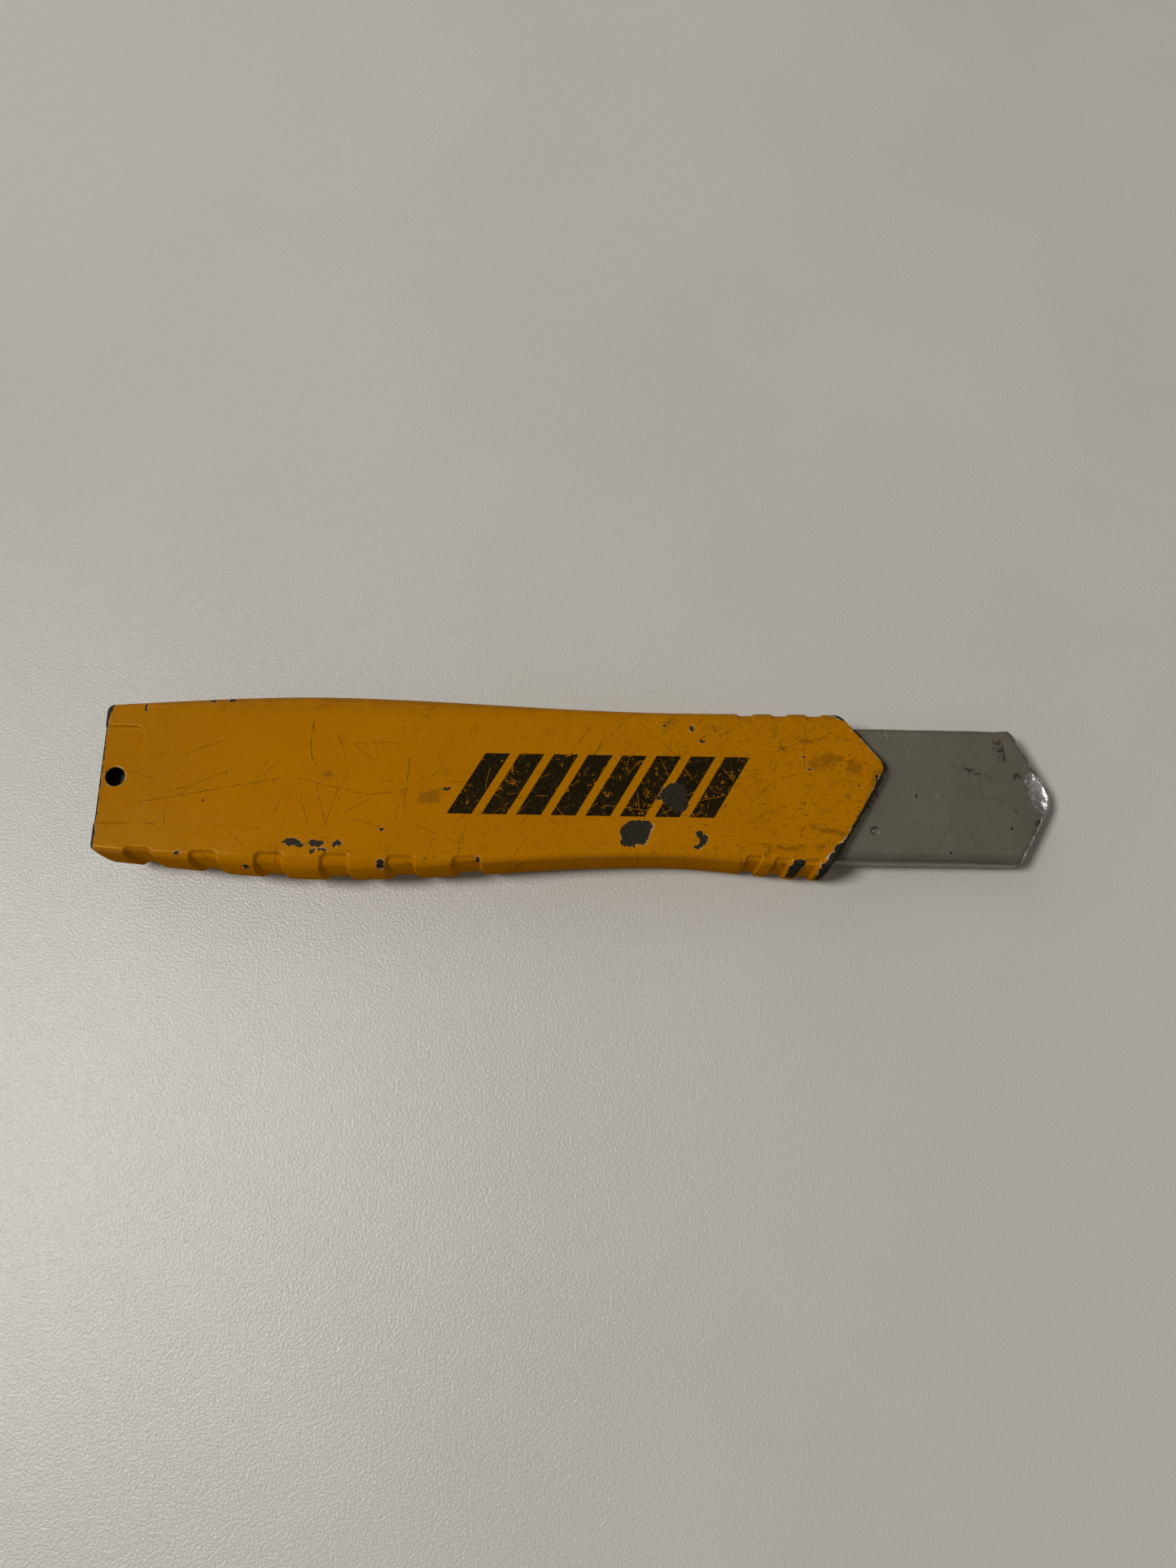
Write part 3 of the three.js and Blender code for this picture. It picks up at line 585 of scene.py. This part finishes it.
def specks(t, scale, power, size, base, growth=None):
    """Scattered dots of many sizes, 1 on a dot and 0 off it."""
    v = t.nodes.new("ShaderNodeTexVoronoi")
    v.inputs["Scale"].default_value = scale
    t.put(v.inputs["Vector"], t.p)
    pick = t.nodes.new("ShaderNodeSeparateColor")
    t.links.new(v.outputs["Color"], pick.inputs[0])
    radius = t.calc("MULTIPLY_ADD", t.calc("POWER", pick.outputs[0], power), size, base)
    if growth is not None:
        radius = t.calc("ADD", radius, growth)
    return t.ramp(t.calc("SUBTRACT", v.outputs["Distance"], radius), 0.03, -0.03)


def printed_bars(t):
    """A generic row of slanted bars, parallel to the snap lines of a blade: 1 on a bar and 0 off it."""
    mid_x, mid_y = (DECAL["x0"] + DECAL["x1"]) / 2, (DECAL["y0"] + DECAL["y1"]) / 2
    slant = t.calc("MULTIPLY_ADD", t.y, -1 / math.tan(NOSE_LOW_ANGLE), t.x)
    cell = t.calc("FRACT", t.calc("MULTIPLY_ADD", slant, 1 / DECAL["pitch"], -DECAL["x0"] / DECAL["pitch"]))
    bar = t.calc("ABSOLUTE", t.calc("SUBTRACT", cell, 0.5))
    bar = t.calc("MULTIPLY_ADD", bar, DECAL["pitch"], -DECAL["bar"] / 2)
    ends = t.calc("ABSOLUTE", t.calc("SUBTRACT", slant, mid_x))
    ends = t.calc("SUBTRACT", ends, (DECAL["x1"] - DECAL["x0"]) / 2)
    sides = t.calc("ABSOLUTE", t.calc("SUBTRACT", t.y, mid_y))
    sides = t.calc("SUBTRACT", sides, (DECAL["y1"] - DECAL["y0"]) / 2)
    return t.ramp(t.most([bar, ends, sides]), 0.05, -0.05)


def paint_shapes(t):
    """Distances to the placed chips, smudges and scratches, and the masks of the scattered specks."""
    wander = t.vector("SUBTRACT", t.noise(0.9, 3, 0.6, color=True), (0.5, 0.5, 0.5))
    t.warped(t.vector("MULTIPLY", wander, (1.5, 1.5, 0)))
    chips = t.least(t.blob(*c) for c in CHIPS)
    smudges = t.least(t.blob(*c) for c in SMUDGES)
    t.warped(t.vector("MULTIPLY", wander, (0.35, 0.35, 0)))
    marks = t.least(t.line(*m[:4], extra=0.09 * (1 - m[4])) for m in MARKS)
    toward_nose = t.ramp(t.x, 50, 115)
    t.warped(t.vector("MULTIPLY", wander, (0.9, 0.9, 0.9)))
    pits = specks(t, 0.75, 9.0, 0.22, -0.075, t.times(toward_nose, 0.03))
    knocks = specks(t, 0.13, 8.0, 0.16, -0.05)
    t.unwarped()
    return chips, smudges, marks, toward_nose, pits, knocks


def bare_metal(t, chips, knocks):
    """Distance to bare metal and its mask: chips, the butt's rim, the nose's edges, knocks on the walls."""
    ragged = t.calc("SUBTRACT", t.noise(1.1, 3, 0.65), 0.5)
    out_of_panel = t.calc("MAXIMUM", t.ramp(t.y, 7.4, 8.0), t.ramp(t.y, -6.9, -7.5))
    rim = t.calc("MULTIPLY_ADD", out_of_panel, 0.14, 0.34)
    rim = t.calc("MULTIPLY_ADD", t.ramp(t.y, 8.8, 11.0), 0.5, rim)
    rim = t.calc("ADD", rim, ragged)
    butt = t.calc("SUBTRACT", t.x, rim)
    nose = nose_distance(t)
    nose_rim = t.calc("SUBTRACT", t.calc("MULTIPLY_ADD", ragged, 0.8, -0.08), nose)
    reach_down = t.ramp(t.x, 95, 100, 3.1, -0.6)
    depth_limit = t.calc("MULTIPLY_ADD", ragged, 2.5, t.calc("SUBTRACT", reach_down, t.z))
    chips = t.calc("MAXIMUM", chips, depth_limit)
    butt = t.calc("MAXIMUM", butt, t.calc("MULTIPLY_ADD", ragged, 4.0, t.calc("SUBTRACT", 3.4, t.z)))
    nose_rim = t.calc("MAXIMUM", nose_rim, t.calc("SUBTRACT", 4.45, t.z))
    bare_distance = t.least([chips, butt, nose_rim])
    hidden = t.ramp(t.z, 3.4, 2.6)
    bare = t.calc("MAXIMUM", t.ramp(bare_distance, 0.05, -0.05), t.times(knocks, hidden))
    return bare_distance, bare


def dirty_and_shaded_yellow(t, smudges, toward_nose):
    """The paint's own colour with grime and painted shade at the butt end over it, and the mask of both."""
    grain = t.noise(3.0, 3, 0.6)
    yellow = t.mix(t.ramp(t.noise(0.08, 4, 0.6), 0.35, 0.65), srgb(184, 116, 0), srgb(190, 121, 0))
    yellow = t.mix(t.ramp(grain, 0.3, 0.75), yellow, srgb(176, 110, 0))
    stain = t.noise(0.35, 5, 0.65)
    grime = t.times(t.ramp(stain, 0.56, 0.74), t.calc("MULTIPLY_ADD", toward_nose, 0.55, 0.18))
    streaky = t.noise(1.6, 4, 0.7, vector=t.vector("MULTIPLY", t.p, (0.5, 1.1, 1)))
    fine = t.times(t.ramp(streaky, 0.54, 0.70), t.ramp(t.x, 60, 112, 0.15, 0.75))
    patchy = t.calc("MULTIPLY_ADD", t.noise(1.1, 4, 0.7), 5.0, t.calc("ADD", smudges, -2.5))
    smudge = t.ramp(patchy, 0.4, -0.6, 0.0, 0.5)
    # Painted shade: the paint darkens towards the butt end, in patches.
    butt_shade = t.times(t.ramp(t.x, 26, 2, 0.0, 0.16), t.ramp(stain, 0.3, 0.6, 0.6, 1.0))
    spine_dirt = t.times(t.ramp(t.y, 9.5, 12.0, 0.0, 0.28), t.ramp(stain, 0.35, 0.6, 0.3, 1.0))
    dirt_and_shade = t.most([grime, fine, smudge, butt_shade, spine_dirt])
    yellow = t.mix(dirt_and_shade, yellow, srgb(96, 62, 12))
    return yellow, dirt_and_shade


def scratched(t, yellow, marks, toward_nose):
    small = t.times(t.hairs(2.6, 2.4, 0.10, 3, keep=0.6), t.calc("MULTIPLY_ADD", toward_nose, 0.8, 0.2))
    hairs = t.most([t.hairs(9.0, 9.0, 0.09, 1, keep=0.85), t.hairs(5.0, 4.5, 0.09, 2, keep=0.65), small])
    scratch = t.calc("MAXIMUM", t.times(hairs, 0.8), t.ramp(marks, 0.15, 0.05))
    scratch = t.times(scratch, t.ramp(t.noise(0.8, 3, 0.6), 0.35, 0.6))
    yellow = t.mix(t.times(scratch, 0.75), yellow, srgb(70, 46, 10))
    yellow = t.mix(t.times(t.hairs(12.0, 5.0, 0.04, 5, keep=0.6), 0.25), yellow, srgb(214, 160, 60))
    return yellow


def printed(t, yellow):
    """The bars over the paint, rubbed and scratched through in places."""
    ink = t.times(printed_bars(t), t.ramp(t.z, 4.0, 4.6))
    rubbed = t.times(t.ramp(t.noise(1.3, 6, 0.75), 0.55, 0.63), t.ramp(t.noise(0.22, 2, 0.5), 0.42, 0.58))
    short_lines = t.hairs(3.2, 4.0, 0.06, 7, keep=0.8)
    long_lines = t.hairs(8.0, 9.0, 0.07, 9, spread=0.8, lean=0.3, keep=0.8)
    lines = t.most([short_lines, long_lines])
    lines = t.times(lines, t.ramp(t.noise(0.5, 2, 0.5), 0.38, 0.55))
    worn = t.calc("MAXIMUM", t.times(rubbed, 0.9), t.times(lines, 0.75))
    ink = t.times(ink, t.calc("SUBTRACT", 1.0, worn))
    black_ink = t.mix(t.ramp(t.noise(2.0, 3, 0.6), 0.35, 0.7), srgb(17, 13, 7), srgb(38, 30, 16))
    return t.mix(ink, yellow, black_ink)


def chipped(t, color, bare_distance, bare, pits):
    """A pale rim of primer round each chip, dark pits, then the metal itself; also the metal's grain."""
    rim_light = t.times(t.ramp(bare_distance, 0.22, 0.10), t.ramp(t.noise(1.2, 2, 0.5), 0.46, 0.56))
    rim_light = t.times(rim_light, t.ramp(t.calc("ABSOLUTE", t.y), 5.0, 7.0, 0.25, 1.0))
    color = t.mix(t.times(rim_light, t.ramp(t.x, 104, 108, 0.22, 0.85)), color, srgb(206, 200, 178))
    color = t.mix(t.times(pits, 0.8), color, srgb(46, 36, 22))
    cast = t.noise(2.2, 4, 0.7)
    color = t.mix(bare, color, t.mix(t.ramp(cast, 0.3, 0.7), srgb(28, 28, 25), srgb(48, 48, 44)))
    return color, cast


def holed(t, color):
    """A worn lip round the small hole, and painted shade on the wall inside it."""
    radius = HOLE[2] + 0.12
    hole = t.blob(HOLE[0], HOLE[1], radius, radius)
    worn_lip = t.times(t.ramp(hole, 0.25, 0.05), t.ramp(t.noise(1.7, 2, 0.5), 0.45, 0.6, 0.0, 0.5))
    color = t.mix(worn_lip, color, srgb(190, 180, 140))
    # Painted shade: the hole's wall below the surface is coloured near-black.
    color = t.mix(t.times(t.ramp(hole, 0.05, -0.05), t.ramp(t.z, 4.75, 4.4)), color, srgb(14, 13, 11))
    return color


def paint_material():
    t = Tree("worn_yellow_paint")
    chips, smudges, marks, toward_nose, pits, knocks = paint_shapes(t)
    bare_distance, bare = bare_metal(t, chips, knocks)
    yellow, dirt_and_shade = dirty_and_shaded_yellow(t, smudges, toward_nose)
    color = printed(t, scratched(t, yellow, marks, toward_nose))
    color, cast = chipped(t, color, bare_distance, bare, pits)
    color = holed(t, color)
    rough = t.ramp(t.noise(0.5, 4, 0.6), 0.3, 0.7, 0.18, 0.27)
    polish = t.ramp(t.z, 4.2, 4.85, 0.0, 0.22)
    rough = t.mixf(dirt_and_shade, rough, 0.5)
    rough = t.mixf(bare, rough, t.ramp(cast, 0.3, 0.7, 0.45, 0.62))
    height = t.times(bare, t.calc("MULTIPLY_ADD", cast, 0.8, -1.4))
    height = t.calc("MULTIPLY_ADD", pits, -0.6, height)
    height = t.calc("MULTIPLY_ADD", t.noise(0.55, 2, 0.5), 0.12, height)
    height = t.calc("MULTIPLY_ADD", t.noise(5.0, 2, 0.5), 0.05, height)
    metal = t.times(bare, 0.2)
    return t.finish(color, rough, metal, t.bump(height, 0.07), polish, tint=srgb(255, 214, 120))


# ------------------------------------------------------------------ grey sleeve
# Marks on the sleeve. Lines are x0, y0, x1, y1; spots are x, y, half length, half height, turn in degrees.
SLEEVE_MARKS = (
    (118.1, 9.9, 118.7, 8.9), (125.5, 0.2, 126.0, -0.7), (121.9, 6.9, 121.4, 6.3),
    (116.4, 7.3, 117.6, 6.9),
)
TIDE_MARKS = (
    (132.8, -0.4, 136.8, -0.5), (128.9, -3.8, 131.4, -7.2), (127.9, -3.8, 125.5, -8.5),
    (128.2, 4.8, 131.8, 3.3), (132.2, 3.6, 132.9, -0.9), (129.3, 6.6, 131.4, 2.4),
)
BATTERED_TIP = (141.6, 0.7, 1.5, 3.6, 22)
RUST = ((135.7, 7.9, 0.9, 1.2), (136.2, 6.2, 0.8, 0.6), (133.8, 3.0, 0.5, 0.3))
SOOT = (
    (131.6, 3.8, 1.6, 0.3, -22), (138.3, 3.4, 0.6, 0.45), (136.2, 7.0, 0.5, 0.9),
    (137.8, -2.0, 0.18, 0.18), (141.6, -4.0, 0.7, 0.5),
)
DOTS = ((122.65, -0.24, 0.12, 0.38, 22), (136.94, -4.9, 0.2, 0.18), (127.4, -8.9, 0.2, 0.18))


def sleeve_shapes(t):
    """Distances to the tip and the placed stains and dots, and the masks of the drawn lines."""
    wander = t.vector("SUBTRACT", t.noise(0.8, 3, 0.6, color=True), (0.5, 0.5, 0.5))
    t.warped(t.vector("MULTIPLY", wander, (1.6, 1.6, 0)))
    tip = t.blob(*BATTERED_TIP)
    rust = t.least([t.blob(*b) for b in RUST])
    soot = t.least([t.blob(*b) for b in SOOT])
    t.warped(t.vector("MULTIPLY", wander, (0.3, 0.3, 0)))
    dots = t.least([t.blob(*b) for b in DOTS])
    drawn = t.ramp(t.least(t.line(*m) for m in SLEEVE_MARKS), 0.12, 0.03)
    t.warped(t.vector("MULTIPLY", wander, (1.2, 1.2, 0)))
    tide = t.ramp(t.least(t.line(*m) for m in TIDE_MARKS), 0.22, 0.0)
    t.unwarped()
    return tip, rust, soot, dots, drawn, tide


def stained_and_shaded_grey(t, rust, soot, dots, tide):
    grey = t.mix(t.ramp(t.noise(0.12, 4, 0.6), 0.35, 0.65), srgb(131, 126, 112), srgb(139, 134, 120))
    grey = t.mix(t.ramp(t.noise(2.5, 3, 0.6), 0.3, 0.7), grey, srgb(125, 120, 106))
    breakup = t.noise(1.6, 5, 0.75)
    grey = t.mix(t.times(tide, t.ramp(breakup, 0.4, 0.6, 0.1, 0.4)), grey, srgb(70, 64, 52))
    rusty = t.times(t.ramp(rust, 0.7, -0.5), t.ramp(breakup, 0.44, 0.60, 0.0, 0.8))
    grey = t.mix(rusty, grey, srgb(66, 46, 30))
    sooty = t.times(t.ramp(soot, 0.4, -0.3), t.ramp(breakup, 0.40, 0.56, 0.0, 0.85))
    grey = t.mix(sooty, grey, srgb(44, 38, 30))
    grey = t.mix(t.ramp(dots, 0.04, -0.04), grey, srgb(22, 20, 16))
    # Painted shade: a dark crescent in the small dent knocked into the sleeve.
    disc = t.blob(KNOCK["x"], KNOCK["y"], 0.66, 0.66)
    dent_shade = t.calc("MAXIMUM", disc, t.times(t.blob(116.4, -5.9, 0.5, 0.5), -1.0))
    grey = t.mix(t.ramp(dent_shade, 0.06, -0.06, 0.0, 0.8), grey, srgb(40, 34, 26))
    return grey


def nose_shadow_and_dirt(t, grey):
    """A dark brown band on the sleeve along the casting's nose, thickest below its tip: painted shadow of
    the nose's step, with packed dirt.
    """
    outward = nose_distance(t)
    thick = t.ramp(t.calc("ABSOLUTE", t.calc("ADD", t.y, 0.6)), 3.2, 0.6, 0.22, 0.78)
    hidden = t.ramp(t.y, 2.6, 5.0, 0.35, 1.0)
    ragged = t.ramp(t.noise(0.7, 4, 0.65), 0.3, 0.7, 0.2, 1.4)
    band = t.calc("SUBTRACT", outward, t.calc("MULTIPLY_ADD", thick, ragged, hidden))
    # Painted shadow of the casting's nose, with packed dirt, as a dark brown band.
    grey = t.mix(t.ramp(band, 0.15, -0.12, 0.0, 0.85), grey, srgb(62, 45, 26))
    return grey


def scratched_and_shaded_grey(t, grey, drawn):
    """Fine specks, painted shade on the bend along the finger side, and pale scratches."""
    grey = t.mix(specks(t, 0.30, 8.0, 0.12, -0.035), grey, srgb(40, 38, 34))
    # Painted shade: the sheet's bend along the finger side is darkened in its colour.
    grey = t.mix(t.ramp(t.y, -8.7, -9.7, 0.0, 0.45), grey, srgb(86, 82, 74))
    leaning = t.hairs(7.0, 2.5, 0.05, 21, spread=1.2, lean=-1.0, keep=0.35)
    hairs = t.most([leaning, t.hairs(11, 6, 0.035, 22, keep=0.5)])
    scratch = t.calc("MAXIMUM", t.times(drawn, 0.32), t.times(hairs, 0.25))
    return t.mix(scratch, grey, srgb(176, 172, 160))


def bare_tip(t, tip):
    """Mask of the bright metal on the battered tip and broken along its rim."""
    across = t.times(t.calc("ABSOLUTE", t.y), math.cos(NOSE_LOW_ANGLE))
    edge = t.calc("MULTIPLY_ADD", t.x, math.sin(NOSE_LOW_ANGLE), across)
    edge = t.calc("SUBTRACT", SLEEVE_TIP_X * math.sin(NOSE_LOW_ANGLE), edge)
    rim = t.calc("ADD", edge, t.calc("MULTIPLY_ADD", t.noise(0.9, 3, 0.6), -1.6, 0.55))
    return t.times(t.ramp(t.calc("MINIMUM", tip, rim), 0.1, -0.1), t.ramp(t.z, -0.6, -0.1))


def sleeve_material():
    t = Tree("grey_steel_sleeve")
    tip, rust, soot, dots, drawn, tide = sleeve_shapes(t)
    grey = stained_and_shaded_grey(t, rust, soot, dots, tide)
    grey = scratched_and_shaded_grey(t, nose_shadow_and_dirt(t, grey), drawn)
    bare = bare_tip(t, tip)
    shine = t.mix(t.ramp(t.noise(1.1, 4, 0.6), 0.3, 0.7), srgb(206, 204, 198), srgb(240, 238, 234))
    color = t.mix(bare, grey, shine)
    polished = t.ramp(t.noise(1.5, 3, 0.6), 0.3, 0.7, 0.24, 0.40)
    rough = t.mixf(bare, t.ramp(t.noise(0.4, 3, 0.6), 0.3, 0.7, 0.30, 0.38), polished)
    metal = t.mixf(bare, 0.6, 1.0)
    height = t.times(bare, t.calc("MULTIPLY_ADD", t.noise(1.3, 3, 0.6), 5.0, -1.0))
    height = t.calc("MULTIPLY_ADD", drawn, -0.4, height)
    height = t.calc("MULTIPLY_ADD", t.noise(0.5, 2, 0.5), 1.2, height)
    height = t.calc("MULTIPLY_ADD", t.noise(6.0, 2, 0.5), 0.12, height)
    return t.finish(color, rough, metal, t.bump(height, 0.045))


# ------------------------------------------------------------------ plain steels and plastic
def steel_material(name, color, rough, stretch=(0.15, 6.0, 6.0)):
    t = Tree(name)
    streaks = t.noise(1.0, 4, 0.6, vector=t.vector("MULTIPLY", t.p, stretch))
    wear = t.noise(0.6, 4, 0.6)
    darker = tuple(c * 0.72 for c in color[:3]) + (1.0,)
    tone = t.mix(t.ramp(streaks, 0.3, 0.7), darker, color)
    tone = t.mix(t.times(t.ramp(wear, 0.55, 0.75), 0.4), tone, srgb(92, 84, 74))
    roughness = t.ramp(streaks, 0.3, 0.7, rough - 0.06, rough + 0.08)
    normal = t.bump(streaks, 0.01)
    return t.finish(tone, roughness, 1.0, normal)


def plastic_material(name, color):
    t = Tree(name)
    grain = t.noise(4.0, 3, 0.6)
    dust = t.noise(0.7, 5, 0.7)
    worn = tuple(min(1.0, c * 3.2 + 0.01) for c in color[:3]) + (1.0,)
    tone = t.mix(t.times(t.ramp(dust, 0.5, 0.75), 0.6), color, worn)
    tone = t.mix(t.times(t.hairs(3.0, 2.5, 0.05, 31, keep=0.5), 0.3), tone, srgb(110, 108, 104))
    roughness = t.ramp(dust, 0.3, 0.7, 0.42, 0.62)
    normal = t.bump(grain, 0.03)
    return t.finish(tone, roughness, 0.0, normal)


# ------------------------------------------------------------------ build the pieces
def dress(piece, body, replaced, material):
    piece.data.materials.append(material)
    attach(piece, body)
    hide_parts(replaced)


bright = steel_material("bright_steel", srgb(188, 188, 186), 0.26)
spring = steel_material("spring_steel", srgb(140, 143, 147), 0.32)
black = plastic_material("black_plastic", srgb(26, 26, 27))

dress(make_casting(), "handle", "handle_body", paint_material())
dress(make_sleeve(), "handle", "wear_sleeve", sleeve_material())
dress(make_button(), "lock", "thumb_button", black)


def soften(node, material, width, segments):
    """A CAD node kept as it is, with small bevels on its edges and its finish."""
    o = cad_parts[node]
    o.data.materials.clear()
    o.data.materials.append(material)
    for p in o.data.polygons:
        p.use_smooth = True
    bevel = o.modifiers.new("edge", "BEVEL")
    bevel.width = width * MM
    bevel.segments = segments
    bevel.limit_method = "ANGLE"
    bevel.angle_limit = math.radians(35)
    bevel.harden_normals = True
    bevel.miter_outer = "MITER_ARC"


# Each carried-over piece: its finish, the width of its bevels and their segments.
SOFTENED = (
    ("blade", bright, 0.02, 1),
    ("blade_carrier", spring, 0.1, 2),
    ("blade_peg", bright, 0.12, 3),
    ("slider_base", black, 0.25, 3),
    ("slider_rivet_rear", bright, 0.1, 3),
    ("slider_rivet_front", bright, 0.1, 3),
    ("spring_rivet", bright, 0.1, 3),
    ("lock_spring", spring, 0.08, 2),
    ("sleeve_pin_spine", bright, 0.15, 3),
    ("sleeve_pin_finger", bright, 0.15, 3),
    ("end_cap", black, 0.3, 3),
)
for softened in SOFTENED:
    soften(*softened)


# ------------------------------------------------------------------ floor, light, camera
# The knife lies on the crown of its button and on the lower edge of the casting's nose.
BUTTON_REST = (25.1, -8.95)
NOSE_REST = (117.0, -5.03)
FLOOR_SLOPE = math.atan2(NOSE_REST[1] - BUTTON_REST[1], NOSE_REST[0] - BUTTON_REST[0])
FLOOR_SIZE = 3000.0
FLOOR_CUTS = 12


def floor_material():
    t = Tree("pale_table")
    fine = t.noise(2.4, 3, 0.6)
    tone = t.mix(t.ramp(t.noise(0.02, 3, 0.5), 0.3, 0.7), srgb(203, 200, 190), srgb(207, 204, 195))
    return t.finish(tone, 0.28, 0.0, t.bump(fine, 0.1), specular=0.55)


def make_floor():
    n = FLOOR_CUTS + 1
    places = [(i / FLOOR_CUTS - 0.5) * FLOOR_SIZE * MM for i in range(n)]
    points = [(u, v, 0) for v in places for u in places]
    corners = [j * n + i for j in range(FLOOR_CUTS) for i in range(FLOOR_CUTS)]
    faces = [(k, k + 1, k + n + 1, k + n) for k in corners]
    data = bpy.data.meshes.new("table")
    data.from_pydata(points, [], faces)
    o = bpy.data.objects.new("table", data)
    bpy.context.scene.collection.objects.link(o)
    o.rotation_euler = (0, -FLOOR_SLOPE, 0)
    o.location = (BUTTON_REST[0] * MM, 0, BUTTON_REST[1] * MM)
    data.materials.append(floor_material())


make_floor()


# Each light: the way from the knife to it, its distance and its width in metres, and its power in watts.
KEY_LIGHT = ((-0.52, -0.06, 0.85), 2.5, 0.62, 34.0)
FILL_LIGHT = ((-0.5, 0.9, 0.8), 1.3, 0.9, 1.3)
LIGHT_TARGET_M = Vector((0.06, 0, 0))


def area_light(name, direction, distance_m, size_m, power):
    data = bpy.data.lights.new(name, "AREA")
    data.shape = "DISK"
    data.size = size_m
    data.energy = power
    o = bpy.data.objects.new(name, data)
    d = Vector(direction).normalized()
    o.location = LIGHT_TARGET_M + d * distance_m
    o.rotation_mode = "QUATERNION"
    o.rotation_quaternion = d.to_track_quat("Z", "Y")
    bpy.context.scene.collection.objects.link(o)


area_light("key", *KEY_LIGHT)
area_light("fill", *FILL_LIGHT)

# The light of the surroundings: the heights between which it rises, and its strength at each.
SKY_RISE = dict(low=0.05, high=0.8, horizon=0.05, overhead=0.19)


def studio_world():
    """Dim light, darker round the horizon than overhead; the camera itself sees a plain pale backdrop."""
    world = bpy.data.worlds.new("studio")
    bpy.context.scene.world = world
    world.use_nodes = True
    nodes, links = world.node_tree.nodes, world.node_tree.links
    sky = nodes["Background"]
    coords = nodes.new("ShaderNodeTexCoord")
    split = nodes.new("ShaderNodeSeparateXYZ")
    height = nodes.new("ShaderNodeMapRange")
    backdrop = nodes.new("ShaderNodeBackground")
    path = nodes.new("ShaderNodeLightPath")
    mix = nodes.new("ShaderNodeMixShader")
    links.new(coords.outputs["Generated"], split.inputs[0])
    links.new(split.outputs["Z"], height.inputs["Value"])
    height.inputs["From Min"].default_value = SKY_RISE["low"]
    height.inputs["From Max"].default_value = SKY_RISE["high"]
    height.inputs["To Min"].default_value = SKY_RISE["horizon"]
    height.inputs["To Max"].default_value = SKY_RISE["overhead"]
    sky.inputs["Color"].default_value = (1.0, 0.97, 0.90, 1.0)
    links.new(height.outputs[0], sky.inputs["Strength"])
    backdrop.inputs["Color"].default_value = srgb(186, 183, 174)
    links.new(path.outputs["Is Camera Ray"], mix.inputs[0])
    links.new(sky.outputs[0], mix.inputs[1])
    links.new(backdrop.outputs[0], mix.inputs[2])
    links.new(mix.outputs[0], nodes["World Output"].inputs["Surface"])


studio_world()

PHOTO_LENS = 27.03
TILT = math.radians(15.0)
ROLL = math.radians(1.0)
DISTANCE_M = 0.1804
LOOK_AT_M = Vector((0.073, 0.0013, 0.0))
SENSOR_WIDTH = 36.0
CLIP_START_M = 0.005


def photo_camera():
    """Looks down on the flat back, tipped towards the finger side and rolled slightly."""
    camera = bpy.data.objects.new("camera", bpy.data.cameras.new("camera"))
    bpy.context.scene.collection.objects.link(camera)
    camera.data.sensor_width = SENSOR_WIDTH
    camera.data.lens = PHOTO_LENS
    camera.data.clip_start = CLIP_START_M
    right = Vector((math.cos(ROLL), math.sin(ROLL), 0))
    level = Vector((-math.sin(ROLL), math.cos(ROLL), 0))
    forward = level * math.sin(TILT) + Vector((0, 0, -1)) * math.cos(TILT)
    up = level * math.cos(TILT) + Vector((0, 0, 1)) * math.sin(TILT)
    turn = Matrix((right, up, -forward)).transposed().to_4x4()
    camera.matrix_world = Matrix.Translation(LOOK_AT_M - forward * DISTANCE_M) @ turn
    bpy.context.scene.camera = camera


photo_camera()
bpy.context.scene.view_settings.view_transform = "Standard"
